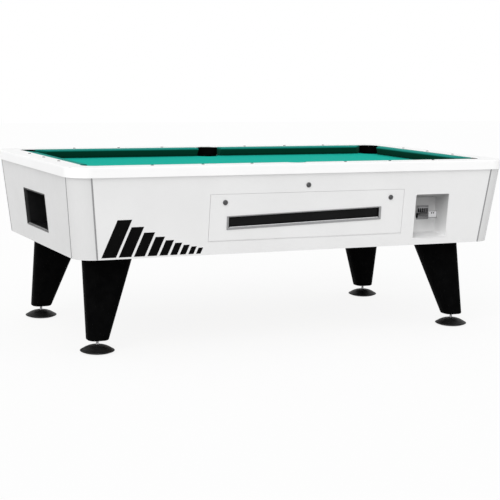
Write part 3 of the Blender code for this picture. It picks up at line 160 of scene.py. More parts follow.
# door and window; a moulding is a row of (inset, out of the face, corner radius)
WINDOW_HALF = (0.392, 0.031)
WINDOW_BAR = 0.0095
WINDOW_TOP_BAR = 0.005
WINDOW_TILT = radians(1.57)
WINDOW_PROUD = 0.003
WINDOW_DEPTH = 0.006
WINDOW_OUTSIDE = ((0.0004, -WINDOW_DEPTH, 0.0015), (0.0004, -0.0002, 0.0015), (0.0, 0.0003, 0.002),
                  (0.0, WINDOW_PROUD - 0.0006, 0.002), (0.0006, WINDOW_PROUD, 0.0015))
WINDOW_CREST = ((0.002, WINDOW_PROUD, 0.001),)
CREST_SHORT = 0.0002
WINDOW_INSIDE = ((-0.0008, 0.0008, 0.0006), (0.0, 0.0, 0.0005), (0.0, -WINDOW_DEPTH, 0.0005))
BEAD_SPARE = 0.0002
BEAD = ((0.0, -0.004, 0.0005), (0.0, -0.0016, 0.0005), (0.0008, -0.0011, 0.0008),
        (0.0018, -0.0018, 0.0008), (0.002, -0.004, 0.0008))
GLAZING_BEAD = ((0.0003, -0.001), (0.0003, 0.0002), (0.0012, 0.0006), (0.0026, -0.0002), (0.003, -0.001))
SILL_SHORT = 0.004
DOOR_GAP = 0.0015
DOOR_GAP_SPAN = (0.15 * DOOR_GAP, 0.92 * DOOR_GAP)
DOOR_SIDE_SINK = 0.0002
DOOR_TOP_SINK = 0.0016
LINER_DEPTHS = (0.0, 0.001, 0.005)
DOOR_EDGE = 0.0015
DOOR_EDGE_ARC, DOOR_BACK_ARC, SILL_ARC = (52, 96, 11), (96, 64, 8), (52, 76, 6)
DOOR_EDGE_DROP = 0.0012  # under the door's foot
DOOR_SHORT = 0.0005
DOOR_STATION = 0.3
DOOR_SPARE = 0.0004  # between the foot's round edges
SILL_LIFT = 0.0002
SILL_SINK = 0.0003
SILL_CREST = 0.0098  # under the pivot

# ball return, with its sill as (up, out) points
RETURN_HALF = (0.172, 0.0855)
RETURN_BAR = 0.0025
RETURN_BEZEL = ((-RETURN_BAR, 0.0002, 0.004), (-RETURN_BAR, 0.0008, 0.004),
                (0.0006 - RETURN_BAR, 0.0014, 0.0035), (-0.0004, 0.0014, 0.003), (0.006, -0.007, 0.002),
                (0.006, -0.014, 0.002), (0.0034, -0.014, 0.002), (0.0034, 0.0002, 0.002))
RETURN_SILL = ((-0.0004, 0.0016), (0.0056, -0.0064), (0.0062, -0.0058), (0.0004, 0.0021))

# locks: (radius, out) profiles, and the key's cuts as x, y and size
LOCK_PROUD = 0.0035
LOCK_STEPS = 32
LOCK_RIM = ((0.0072, -0.0004), (0.0113, -0.0004), (0.0114, 0.0005), (0.0104, 0.0014), (0.0086, 0.0014),
            (0.0074, 0.0006))
LOCK_PLUG = ((0.0, -0.0003), (0.0068, -0.0003), (0.0068, 0.0016), (0.0058, 0.0024), (0.0, 0.0027))
KEY_OUT = 0.0025
KEY_CUTS = ((0.0, 0.0, (0.0017, 0.0086, 0.003)), (0.0008, -0.0012, (0.0026, 0.0016, 0.0028)))

# coin recess as left, right, low, high; loops are (grown by, set back, corner radius)
RECESS = (0.597, 0.782, 0.463, 0.675)
RECESS_BACK = (0.6, 0.776, 0.479, 0.653)
RECESS_LIP = ((0.003, -0.0001, 0.008), (0.0026, -0.0006, 0.008), (0.0012, -0.0009, 0.007),
              (-0.0002, -0.0005, 0.006), (-0.001, 0.0008, 0.006), (-0.001, 0.005, 0.006),
              (-0.0004, 0.005, 0.006), (-0.0004, -0.0001, 0.006))
TRAY_SETBACK = 0.003
TRAY_FACE = -0.0003  # tray's inner face, from the back plane
TRAY_EASE = 0.003
TRAY_LOOPS = (("mouth", -0.001, 0.0052, 0.006), ("between", 0.0, 0.0, 0.01), ("back", 0.0, -0.0022, 0.01),
              ("back", -0.0008, -0.0008, 0.0095), ("back", -0.0022, TRAY_FACE, 0.009),
              ("passage", 0.0, TRAY_FACE, 0.001), ("passage", 0.0, 0.002, 0.001),
              ("back", 0.0015, 0.002, 0.01), ("mouth", -0.0004, 0.008, 0.006),
              ("mouth", -0.0004, 0.0052, 0.006))
PASSAGE_SPARE = 0.0015
TRAY_SEAM = 0.0014
SEAM_LENGTH = 0.158
SEAM_INSET = 0.006
SEAM_PLATE = (0.0001, 0.0005, 0.0001)
UPPER_SEAM, LOWER_SEAM = 0.0035, 0.002
FLANGE_LOW, FLANGE_HIGH = 0.5423, 0.6083

# coin chute's face: outlines, and plates as low, high and sloped edge
COIN_Z = 0.5685
SLIDE_THICKNESS = 0.013
GUIDE_OUTLINE = ((-0.03, 0.0012), (0.03, 0.0012), (0.03, 0.0235), (0.028, 0.0255), (-0.028, 0.0255),
                 (-0.03, 0.0235))
GUIDE_PLATE = (0.0002, 0.0022, 0.0005)
COIN_SLOTS = 5
SLOT_PITCH = 0.0116
SLOT_HALF = 0.0047
SLOT_FOOT = 0.0024
SLOT_ARCH = 0.0174
SLOT_DEPTH = (-0.001, 0.004)
SHADE_OUTLINE = ((-0.0285, 0.0014), (0.0285, 0.0014), (0.0285, 0.0238), (-0.0285, 0.0238))
SHADE_PLATE = (0.00005, 0.00018, 0.00003)
STOP_HALF, STOP_ROUND = (0.0035, 0.011), 0.0012
STOP_PLATE = (0.0002, 0.005, 0.0006)
STOP_PLACE = (-0.0325, -0.0135, 0.0)
SLIDE_EDGE = 0.0016
FINGER_PLATE = ((0.0, 0.0001, 0.004), (0.0, 0.0007, 0.004), (0.0006, 0.0012, 0.0035))
RIVET = ((0.0, 0.001), (0.0034, 0.001), (0.0034, 0.0014), (0.0022, 0.0021), (0.0, 0.0023))
RIVET_X, RIVET_Y = 0.0055, 0.0065
RIVET_STEPS = 16

# legs, with (up, inset) rows of the soft lower end, and feet
LEG_TOP = (0.2345, 0.124)
LEG_TOP_ROUND = 0.055
LEG_FOOT = (0.095, 0.088)
LEG_FOOT_ROUND = 0.033
LEG_RISE = 0.0035  # lower end, over the solid's
LEG_SPLAY = (0.071, 0.072)  # leg's top centre, in from its foot
LEG_ROWS = ((0.0, 0.0045), (0.0006, 0.0026), (0.0019, 0.001), (0.0045, 0.0), (0.12, 0.0), (0.25, 0.0))
BORE_SPARE = 0.016
BORE_START = 0.01
BORE_STEPS = 24
PAD_BOSS = 0.013
PAD_BASE = 0.045
RIM_HEIGHT = 0.0112
PAD_RIM = ((0.0036, -0.0034), (0.0009, -0.0016), (0.0, 0.0), (0.0008, 0.0018), (0.0026, 0.0032))
PAD_UNDER = (0.85, 0.7, 0.55, 0.4, 0.25)
PAD_DOME = (0.92, 0.8, 0.65, 0.5, 0.35, 0.2, 0.1)
PAD_COLLAR = 0.0012
PAD_COLLAR_EDGE = ((0.0006, PAD_COLLAR), (0.0, 0.0003), (-0.0007, 0.0))
PAD_GROWTH = 1.008
PAD_STEPS = 48
STUD_SPARE = 0.0003
THREAD_PITCH = 0.00175
THREAD_DEPTH = 0.0006
THREAD_ROWS = 4  # in one turn
THREAD_COLUMNS = 20

# places that the frame gives
JOINTS = {joint["name"]: joint for joint in frame["joints"]}
OPENINGS = {opening["name"]: opening["box_m"] for opening in frame["record"]["physics"]["openings"]}
POCKETS = {name: Vector([sum(ends) / 2 for ends in zip(*OPENINGS["pocket_" + name])])
           for name in (*CORNERS, "side_front", "side_rear")}
PANEL_LOW, PANEL_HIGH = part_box("front_panel")
CABINET_TOP = PANEL_HIGH.z
CABINET_BOTTOM = PANEL_LOW.z
CABINET_Y = -PANEL_LOW.y
CABINET_X = -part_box("left_end_panel")[0].x
LOCK_AXIS = Vector(JOINTS["top_lock_turn"]["axis"])
LEAN = atan2(abs(LOCK_AXIS.z), abs(LOCK_AXIS.y))
TAPER = tan(LEAN)
FIELD_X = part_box("cushion_right_end")[0].x
FIELD_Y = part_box("cushion_rear_left")[0].y
CUSHION_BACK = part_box("cushion_right_end")[1].x - FIELD_X
CUSHION_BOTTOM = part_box("cushion_right_end")[0].z
BED_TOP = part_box("bed_cloth")[1].z
SLATE_LOW, SLATE_TOP = [corner.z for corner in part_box("slate_bed")]
RAIL_FOOT, RAIL_TOP = [corner.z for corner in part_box("rail_rear")]
RAIL_IN_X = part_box("rail_right")[0].x
RAIL_IN_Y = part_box("rail_rear")[0].y
LINER_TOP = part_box("pocket_liner_front_left")[1].z
SLIDE_LOW, SLIDE_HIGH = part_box("coin_slide")
SLIDE_X = (SLIDE_LOW.x + SLIDE_HIGH.x) / 2
UPRIGHT = Matrix.Rotation(radians(90), 4, "X")  # turns a flat piece to the front


def drop(z):
    """How far the cabinet's faces lie in from its top edge, at height z."""
    return TAPER * (CABINET_TOP - z)


def front_y(z):
    """Where the cabinet's front face lies, at height z."""
    return drop(z) - CABINET_Y


def signs(point):
    """-1 or 1 along x and y, by the side that a point is on."""
    return (-1 if point.x < 0 else 1), (-1 if point.y < 0 else 1)


def face_frame(side, along, z):
    """Frame on a leaned cabinet face: x right as seen, y up the face, z outward."""
    turn = {"front": 0.0, "right": 0.5, "rear": 1.0, "left": -0.5}[side] * pi
    reach = CABINET_Y if side in ("front", "rear") else CABINET_X
    right = Vector((1.0, 0.0, 0.0))
    up = Vector((0.0, -sin(LEAN), cos(LEAN)))
    made = Matrix((right, up, right.cross(up))).transposed().to_4x4()
    made.translation = Vector((along, -(reach - drop(z)), z))
    return Matrix.Rotation(turn, 4, "Z") @ made


# materials

def grey(value, cast=0.0):
    """Grey with a slight blue cast."""
    return (value, value, value + cast)


def feed(tree, socket, value):
    """Gives a socket another's output or a plain value."""
    if isinstance(value, bpy.types.NodeSocket):
        tree.links.new(value, socket)
    else:
        socket.default_value = value


def add_node(tree, kind, **sockets):
    """New shader node; a socket's name has _ for a space."""
    node = tree.nodes.new("ShaderNode" + kind)
    for name, value in sockets.items():
        feed(tree, node.inputs[name.replace("_", " ")], value)
    return node


def math_node(tree, operation, *values):
    node = add_node(tree, "Math")
    node.operation = operation
    for socket, value in zip(node.inputs, values):
        feed(tree, socket, value)
    return node.outputs[0]


def principled(made):
    return made.node_tree.nodes["Principled BSDF"]


def shader(name, colour, roughness, metallic=0.0, specular=0.5, **sockets):
    made = bpy.data.materials.new(name + "_look")
    made.use_nodes = True
    values = {"Base_Color": (*colour, 1.0), "Roughness": roughness, "Metallic": metallic,
              "Specular_IOR_Level": specular, **sockets}
    for socket, value in values.items():
        principled(made).inputs[socket.replace("_", " ")].default_value = value
    return made


def texture(made, kind, stretch=(1.0, 1.0, 1.0), **sockets):
    """Texture in the piece's own coordinates; its scale is per metre."""
    tree = made.node_tree
    place = add_node(tree, "Mapping", Vector=add_node(tree, "TexCoord").outputs["Object"], Scale=stretch)
    return add_node(tree, kind, Vector=place.outputs["Vector"], **sockets)


def noise(made, scale, detail=4.0, rough=0.55, **stretch):
    return texture(made, "TexNoise", Scale=scale, Detail=detail, Roughness=rough, **stretch).outputs["Fac"]


def twill(made, scale):
    """Diagonal ribs of a weave."""
    node = texture(made, "TexWave", Scale=scale, Distortion=2.5, Detail=3.0)
    node.bands_direction = "DIAGONAL"
    return node.outputs["Fac"]


def height(made, low, high):
    """0 to 1 from one height to another."""
    tree = made.node_tree
    split = add_node(tree, "SeparateXYZ", Vector=add_node(tree, "TexCoord").outputs["Object"])
    return add_node(tree, "MapRange", Value=split.outputs["Z"], From_Min=low, From_Max=high).outputs["Result"]


def tint(made, factor, *stops):
    """Base colour by a factor, through (position, colour) stops."""
    tree = made.node_tree
    ramp = add_node(tree, "ValToRGB", Fac=factor)
    elements = ramp.color_ramp.elements
    for index, (position, colour) in enumerate((stops[0], stops[-1])):
        elements[index].position = position
        elements[index].color = (*colour, 1.0)
    for position, colour in stops[1:-1]:
        elements.new(position).color = (*colour, 1.0)
    tree.links.new(ramp.outputs["Color"], principled(made).inputs["Base Color"])


def mottle(made, factor, dark, light, spread=0.15):
    """Base colour between two tones, about the factor's middle."""
    tint(made, factor, (0.5 - spread, dark), (0.5 + spread, light))


def gloss(made, low, high, scale, detail=4.0):
    """Roughness between two values, in patches."""
    tree = made.node_tree
    patches = noise(made, scale, detail)
    spread = add_node(tree, "MapRange", Value=patches, From_Min=0.3, From_Max=0.7, To_Min=low, To_Max=high)
    tree.links.new(spread.outputs["Result"], principled(made).inputs["Roughness"])


def relief(made, factor, depth, strength):
    """Bump of a depth in metres; a second call adds to the first."""
    normal = principled(made).inputs["Normal"]
    before = {"Normal": link.from_socket for link in normal.links}
    bump = add_node(made.node_tree, "Bump", Height=factor, Strength=strength, Distance=depth, **before)
    made.node_tree.links.new(bump.outputs["Normal"], normal)


def coated(name, tone, roughness):
    """Smooth coat on board or metal, still to be tinted."""
    made = shader(name, grey(tone), roughness, specular=0.35)
    gloss(made, roughness - 0.05, roughness + 0.07, 40.0, 5.0)
    relief(made, noise(made, 900.0, detail=2.0), 0.00006, 0.5)
    return made


def laminate(name, dark, light, roughness):
    made = coated(name, light, roughness)
    mottle(made, noise(made, 3.5, detail=6.0), grey(dark), grey(light))
    return made


def tray_enamel_painted_shade():
    """Enamel with painted shade, darker from the recess's floor up to the tray's soffit."""
    made = coated("tray_enamel_painted_shade", 0.63, 0.4)
    # painted shade: greys fall from light at the recess's bottom to dark at its soffit
    painted_shade_tones = ((0.0, 0.84), (0.08, 0.8), (0.18, 0.71), (0.32, 0.63), (0.48, 0.58), (0.66, 0.5), (0.86, 0.43),
             (1.0, 0.4))
    tint(made, height(made, RECESS[2], RECESS[3]), *[(position, grey(tone)) for position, tone in painted_shade_tones])
    return made


def cloth(name, colour):
    """Napped cloth, still to be tinted."""
    made = shader(name, colour, 0.95, specular=0.03, Sheen_Weight=0.015, Sheen_Roughness=0.45)
    relief(made, noise(made, 1500.0, detail=3.0), 0.00025, 0.6)
    relief(made, twill(made, 420.0), 0.00008, 0.4)
    return made


def bed_look():
    light = (0.003, 0.455, 0.36)
    made = cloth("bed_cloth", light)
    nap = noise(made, 260.0, stretch=(0.45, 1.0, 1.0), detail=8.0, rough=0.7)
    mottle(made, nap, (0.0015, 0.38, 0.3), light, 0.2)
    return made


def cushion_look_painted_shade():
    """The bed's cloth, deeper in tone, with painted shade on the face under the nose and a painted lighter
    top.
    """
    made = cloth("cushion_cloth_painted_shade", (0.016, 0.3, 0.24))
    nap = noise(made, 260.0, detail=8.0, rough=0.7)
    # painted shade and light: by height, dark under the nose and lighter on the top, with a little nap
    factor = math_node(made.node_tree, "MULTIPLY_ADD", nap, 0.1, height(made, BED_TOP, RAIL_TOP))
    tint(made, factor, (0.1, (0.0006, 0.05, 0.03)), (0.78, (0.001, 0.067, 0.04)),
         (0.9, (0.008, 0.18, 0.145)), (1.0, (0.018, 0.28, 0.235)))
    return made


def moulded(name, dark, light, roughness, grain=0.00008, specular=0.35):
    made = shader(name, light, roughness, specular=specular)
    mottle(made, noise(made, 25.0, detail=6.0), dark, light)
    gloss(made, roughness - 0.06, roughness + 0.1, 90.0)
    relief(made, noise(made, 1400.0, detail=2.0), grain, 0.6)
    return made


def metal(name, dark, light, cast, roughness, metallic=1.0, **stretch):
    made = shader(name, grey(light, cast), roughness, metallic=metallic)
    grain = noise(made, 900.0, detail=3.0, **stretch)
    mottle(made, grain, grey(dark, cast), grey(light, cast))
    gloss(made, roughness - 0.05, roughness + 0.08, 60.0)
    relief(made, grain, 0.00003, 0.5)
    return made


def plywood():
    dark, light = (0.13, 0.085, 0.05), (0.2, 0.14, 0.085)
    made = shader("plywood", light, 0.6, specular=0.3)
    grain = noise(made, 60.0, stretch=(0.06, 1.0, 1.0), detail=8.0, rough=0.6)
    mottle(made, grain, dark, light, 0.2)
    gloss(made, 0.5, 0.7, 50.0)
    relief(made, grain, 0.0003, 0.5)
    return made


def smoked_glass():
    made = shader("smoked_glass", grey(0.005, 0.0005), 0.08, specular=0.05)
    mottle(made, noise(made, 6.0, detail=5.0), grey(0.0062, 0.0002), grey(0.009, 0.0003))
    gloss(made, 0.06, 0.14, 30.0, 6.0)
    return made


WHITE_BOARD = laminate("white_board", 0.755, 0.78, 0.42)
WHITE_RAIL = laminate("white_rail", 0.882, 0.902, 0.45)
# end panels: the front's white board, greyed down as painted shade
WHITE_END_PAINTED_SHADE = laminate("white_end_board_painted_shade", 0.655, 0.68, 0.42)
# posts: greyer than the board, partly their own plastic and partly painted shade
WHITE_POST_PAINTED_SHADE = laminate("white_post", 0.655, 0.68, 0.36)
WHITE_METAL = laminate("white_enamel", 0.62, 0.65, 0.34)
TRAY_ENAMEL_PAINTED_SHADE = tray_enamel_painted_shade()
BED_CLOTH = bed_look()
CUSHION_CLOTH_PAINTED_SHADE = cushion_look_painted_shade()
BLACK_WOOD = moulded("black_lacquer", grey(0.0018, 0.0001), grey(0.003, 0.0001), 0.4, grain=0.00005,
                     specular=0.004)
BLACK_PLASTIC = moulded("black_plastic", grey(0.003, 0.0002), grey(0.0055, 0.0003), 0.48, specular=0.08)
POCKET_BLACK = moulded("pocket", grey(0.0008, 0.0001), grey(0.0014, 0.0001), 0.55, specular=0.02)
RETURN_PLASTIC = moulded("return_box", grey(0.008, 0.0003), grey(0.012, 0.0003), 0.42, specular=0.15)
BEZEL_GREY = moulded("bezel", grey(0.018, 0.0005), grey(0.028, 0.0005), 0.4, specular=0.2)
SILL_GREY = moulded("sill", grey(0.2, 0.002), grey(0.26, 0.002), 0.4, specular=0.25)
PAD_BLACK = moulded("foot_pad", grey(0.005, 0.0001), grey(0.0095, 0.0002), 0.46, specular=0.14)
BLACK_METAL = moulded("black_enamel", grey(0.01, 0.001), grey(0.018, 0.001), 0.4)
RUBBER = moulded("black_rubber", grey(0.009), grey(0.014), 0.62, specular=0.2)
SLATE = moulded("slate", (0.045, 0.05, 0.055), (0.07, 0.075, 0.08), 0.55, grain=0.0002)
SIGHT_GREY = moulded("sight", grey(0.02), grey(0.035), 0.4, specular=0.2)
DECAL_BLACK = moulded("decal", grey(0.0012), grey(0.0022), 0.5, grain=0.00003, specular=0.04)
SEAM_GREY = metal("seam_strip", 0.24, 0.31, 0.005, 0.5, metallic=0.2, stretch=(1.0, 1.0, 0.05))
ALUMINIUM = metal("window_aluminium", 0.27, 0.35, 0.005, 0.42, metallic=0.6, stretch=(0.04, 1.0, 1.0))
STEEL = metal("zinc_steel", 0.36, 0.48, 0.01, 0.4)
BRIGHT_STEEL = metal("bright_zinc", 0.46, 0.58, 0.01, 0.34, metallic=0.9)
# dark steel for chute and slide; on the slide partly painted shade for its top and side
DARK_STEEL_AND_PAINTED_SHADE = metal("dark_steel_and_painted_shade", 0.2, 0.27, 0.005, 0.42, metallic=0.7)
CHROME = metal("slide_chrome", 0.5, 0.6, 0.01, 0.24, stretch=(1.0, 0.1, 1.0))
LOCK_METAL = metal("lock_metal", 0.075, 0.12, 0.003, 0.34, metallic=0.8)
LOCK_CORE = metal("lock_core", 0.075, 0.13, 0.003, 0.32, metallic=0.9)
# lower bead: bright metal, lightened to also serve as a painted highlight under the glass
BRIGHT_BEAD_PAINTED_HIGHLIGHT = metal("glazing_bead_painted_highlight", 0.66, 0.78, 0.01, 0.3, metallic=0.5)
BARE_WOOD = plywood()
SMOKED_GLASS = smoked_glass()

SLOT_LOOKS = {
    "white_board": WHITE_BOARD, "white_post": WHITE_POST_PAINTED_SHADE, "bare_wood": BARE_WOOD, "black_wood": BLACK_WOOD,
    "slate": SLATE, "green_cloth": BED_CLOTH, "cushion": CUSHION_CLOTH_PAINTED_SHADE, "black_metal": BLACK_METAL,
    "white_metal": WHITE_METAL, "black_plastic": BLACK_PLASTIC, "steel": STEEL, "slide_chrome": CHROME,
    "lock_chrome": LOCK_METAL, "window_aluminium": ALUMINIUM, "smoked_glass": SMOKED_GLASS,
}
# coin slide: dark steel here is partly painted shade, with the chrome only on its front plate
NODE_LOOKS = {"return_box": RETURN_PLASTIC, "coin_chute": DARK_STEEL_AND_PAINTED_SHADE, "coin_slide": DARK_STEEL_AND_PAINTED_SHADE,
              "left_end_panel": WHITE_END_PAINTED_SHADE, "right_end_panel": WHITE_END_PAINTED_SHADE,
              **{"rail_" + side: WHITE_RAIL for side in SIDES},
              **{"pocket_liner_" + corner: POCKET_BLACK for corner in CORNERS}}


def dress_nodes():
    """Every CAD node takes its own look or its slot's."""
    slots = {part["node"]: part["material_slot"] for part in frame["record"]["subparts"]}
    for name, node in frame["nodes"].items():
        for slot in node.material_slots:
            slot.material = NODE_LOOKS.get(name, SLOT_LOOKS[slots[name]])


# building pieces

def soften(bm, sharp=35):
    """Smooth shading; edges that turn by more than sharp degrees stay sharp."""
    for face in bm.faces:
        face.smooth = True
    for edge in bm.edges:
        if len(edge.link_faces) == 2 and edge.calc_face_angle(0.0) > radians(sharp):
            edge.smooth = False


def add_object(name, data):
    made = bpy.data.objects.new(name, data)
    bpy.context.scene.collection.objects.link(made)
    return made


def add_mesh(name, bm):
    mesh = bpy.data.meshes.new(name)
    bm.to_mesh(mesh)
    bm.free()
    return add_object(name, mesh)


def piece(name, bm, look, body, sharp=35, matrix=None):
    if matrix is not None:
        bm.transform(matrix)
    bmesh.ops.recalc_face_normals(bm, faces=bm.faces)
    soften(bm, sharp)
    made = add_mesh(name, bm)
    made.data.materials.append(look)
    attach(made, body)
    return made


def bridge(bm, pairs):
    """Faces between every two loops of vertices."""
    for before, after in pairs:
        for index in range(len(before)):
            other = (index + 1) % len(before)
            bm.faces.new((before[index], before[other], after[other], after[index]))


def loft(rows):
    """Skins equal loops of points into a body with flat ends."""
    bm = bmesh.new()
    made = [[bm.verts.new(point) for point in row] for row in rows]
    bridge(bm, zip(made, made[1:]))
    bm.faces.new(list(reversed(made[0])))
    bm.faces.new(made[-1])
    return bm


def ring(rows):
    """Skins loops of points into a frame; the last meets the first."""
    bm = bmesh.new()
    made = [[bm.verts.new(point) for point in row] for row in rows]
    bridge(bm, zip(made, made[1:] + made[:1]))
    return bm


def turned(profile, steps, centre=(0.0, 0.0), start=0.0, sweep=2 * pi, bm=None):
    """Turns a closed (radius, z) loop; a full sweep closes on itself."""
    if bm is None:
        bm = bmesh.new()
    full = sweep == 2 * pi
    rows = []
    for index in range(steps if full else steps + 1):
        angle = start + sweep * index / steps
        rows.append([bm.verts.new((centre[0] + r * cos(angle), centre[1] + r * sin(angle), z))
                     for r, z in profile])
    for before, after in zip(rows, rows[1:] + rows[:1] if full else rows[1:]):
        for index in range(len(profile)):
            other = (index + 1) % len(profile)
            bm.faces.new((before[index], after[index], after[other], before[other]))
    if not full:
        bm.faces.new(rows[0])
        bm.faces.new(list(reversed(rows[-1])))
    return bm


def lathe(profile, steps):
    """Turns an open (radius, z) profile whose ends lie on the axis."""
    bm = bmesh.new()
    bottom, top = [bm.verts.new((0.0, 0.0, z)) for _, z in (profile[0], profile[-1])]
    angles = [2 * pi * index / steps for index in range(steps)]
    rows = [[bm.verts.new((r * cos(angle), r * sin(angle), z)) for r, z in profile[1:-1]] for angle in angles]
    for before, after in zip(rows, rows[1:] + rows[:1]):
        bm.faces.new((bottom, after[0], before[0]))
        bm.faces.new((top, before[-1], after[-1]))
        for index in range(len(before) - 1):
            bm.faces.new((before[index], after[index], after[index + 1], before[index + 1]))
    return bm


def slab(outline, low, high, edge):
    """Flat plate on an outline, with a small slope for its top edge."""
    middle = Vector((sum(p[0] for p in outline), sum(p[1] for p in outline))) / len(outline)
    crest = []
    for x, y in outline:
        inward = (middle - Vector((x, y))).normalized() * edge
        crest.append((x + inward.x, y + inward.y, high))
    return loft([[(x, y, z) for x, y in outline] for z in (low, high - edge)] + [crest])


def arc(radius, first, last, steps):
    """Points about the origin, between two angles in degrees."""
    angles = [radians(first + (last - first) * step / steps) for step in range(steps + 1)]
    return [(radius * cos(angle), radius * sin(angle)) for angle in angles]


def rounded_rectangle(half_x, half_y, radius, steps=6):
    points = []
    for side_x, side_y, first in ((1, 1, 0), (-1, 1, 90), (-1, -1, 180), (1, -1, 270)):
        middle_x, middle_y = side_x * (half_x - radius), side_y * (half_y - radius)
        points += [(middle_x + x, middle_y + y) for x, y in arc(radius, first, first + 90, steps)]
    return points


def flat_loops(half, moulding, rise=0.0):
    """Rounded loops of a moulding, on a rectangle's half sizes."""
    return [[(x, y + rise, out) for x, y in rounded_rectangle(half[0] - inset, half[1] - inset, radius, 4)]
            for inset, out, radius in moulding]


def lower_bar(half, section):
    """Bar of (up, out) points along an opening's lower side."""
    reach = half[0] - SILL_SHORT
    return loft([[(end, up - half[1], out) for up, out in section] for end in (-reach, 0.0, reach)])


def grown(sides, by):
    return (sides[0] - by, sides[1] + by, sides[2] - by, sides[3] + by)


def upright_loop(sides, by, back, radius, plane=None):
    """Rounded loop, set back from a plane y or else from the leaned front."""
    left, right, low, high = grown(sides, by)
    loop = []
    for x, z in rounded_rectangle((right - left) / 2, (high - low) / 2, radius, 4):
        x, z = x + (left + right) / 2, z + (low + high) / 2
        loop.append((x, (front_y(z) if plane is None else plane) + back, z))
    return loop


def tube_profile(radius, foot, top, rim):
    """(radius, z) loop of an upright tube, as thick as its rim is wide."""
    points = [(radius - rim[-1][0], foot), (radius, foot)]
    return points + [(radius - inward, top - down) for inward, down in rim]


def settle(made):
    """Puts a piece's modifiers into its mesh."""
    graph = bpy.context.evaluated_depsgraph_get()
    mesh = bpy.data.meshes.new_from_object(made.evaluated_get(graph))
    made.modifiers.clear()
    made.data = mesh


def round_tool(radius, centre, depth, steps):
    """Upright round cutter."""
    bm = bmesh.new()
    bmesh.ops.create_cone(bm, cap_ends=True, segments=steps, radius1=radius, radius2=radius, depth=depth,
                          matrix=Matrix.Translation(centre))
    return bm


def carve(made, cutters):
    """Takes closed bmesh tools out of a piece."""
    for bm in cutters:
        tool = add_mesh("tool", bm)
        cut = made.modifiers.new("cut", "BOOLEAN")
        cut.object = tool
        cut.solver = "EXACT"
        settle(made)
        bpy.data.objects.remove(tool)


# bed and pockets

def bed_cloth():
    """Cloth over the slate, with skirts turned down into the pocket holes."""
    low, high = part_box("bed_cloth")
    outline = rounded_rectangle(high.x, high.y, CLOTH_CORNER)
    made = piece("bed_cloth_sheet", loft([[(x, y, z) for x, y in outline] for z in (low.z, high.z)]),
                 BED_CLOTH, "cabinet")
    carve(made, [round_tool(SLATE_HOLE, (centre.x, centre.y, low.z), HOLE_DEPTH, HOLE_STEPS)
                 for centre in POCKETS.values()])
    profile = tube_profile(SKIRT_RADIUS, SLATE_TOP - SKIRT_DEPTH, BED_TOP, SKIRT_RIM)
    bm = bmesh.new()
    bm.from_mesh(made.data)
    for name, centre in POCKETS.items():
        span = ()
        if name.startswith("side"):
            span = (copysign(pi / 2, centre.y) + SKIRT_GAP, 2 * pi - 2 * SKIRT_GAP)
        turned(profile, POCKET_STEPS, centre, *span, bm=bm)
    bmesh.ops.recalc_face_normals(bm, faces=bm.faces)
    soften(bm)
    bm.to_mesh(made.data)
    bm.free()
    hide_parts("bed_cloth")


def pocket_sleeves():
    """Black rings that line the slate's pocket holes."""
    profile = tube_profile(SLEEVE_RADIUS, SLATE_LOW, BED_TOP, SLEEVE_RIM)
    for name, centre in POCKETS.items():
        piece("pocket_sleeve_" + name, turned(profile, POCKET_STEPS, centre), POCKET_BLACK, "cabinet")


def cut_reach(depth):
    """Half of a pocket cut's width, so far from its centre, less an overhang."""
    return sqrt(POCKET_CUT ** 2 - depth ** 2) - BAND_OVERHANG


def pocket_edge_bands():
    """Thin black bands on the rails' inner faces, beside every pocket cut."""
    foot, head = RAIL_FOOT + RAIL_LIFT, RAIL_TOP - BAND_HEAD
    for name, centre in POCKETS.items():
        sign_x, sign_y = signs(centre)
        reach = cut_reach(RAIL_IN_Y - abs(centre.y))
        if name.startswith("side"):
            bands = [(side * reach, side * (reach + BAND_WIDTH), sign_y, RAIL_IN_Y) for side in (-1, 1)]
        else:
            near_x = abs(centre.x) - reach
            near_y = abs(centre.y) - cut_reach(RAIL_IN_X - abs(centre.x))
            bands = [(sign_x * near_x, sign_x * (near_x - BAND_WIDTH), sign_y, RAIL_IN_Y),
                     (sign_y * near_y, sign_y * (near_y - BAND_WIDTH), sign_x, RAIL_IN_X)]
        for index, (start, end, out, face) in enumerate(bands):
            front, back = out * (face - BAND_THICKNESS), out * (face - BAND_SINK)
            rows = [[(along, back, foot), (along, front, foot), (along, front, top), (along, back, top)]
                    for along, top in ((start, head), (end, head - BAND_SLOPE))]
            if face == RAIL_IN_X:
                rows = [[(y, x, z) for x, y, z in row] for row in rows]
            piece(f"pocket_band_{name}_{index + 1}", loft(rows), POCKET_BLACK, "top_frame")


def arc_ends(circle, corner):
    """Angles between which a pocket's arc lies behind the rails' inner faces."""
    x, y, radius = circle
    last = pi - asin((RAIL_IN_Y + RAIL_SPARE - y) / radius)
    first = -acos((RAIL_IN_X + RAIL_SPARE - x) / radius) if corner else pi - last
    return first, last


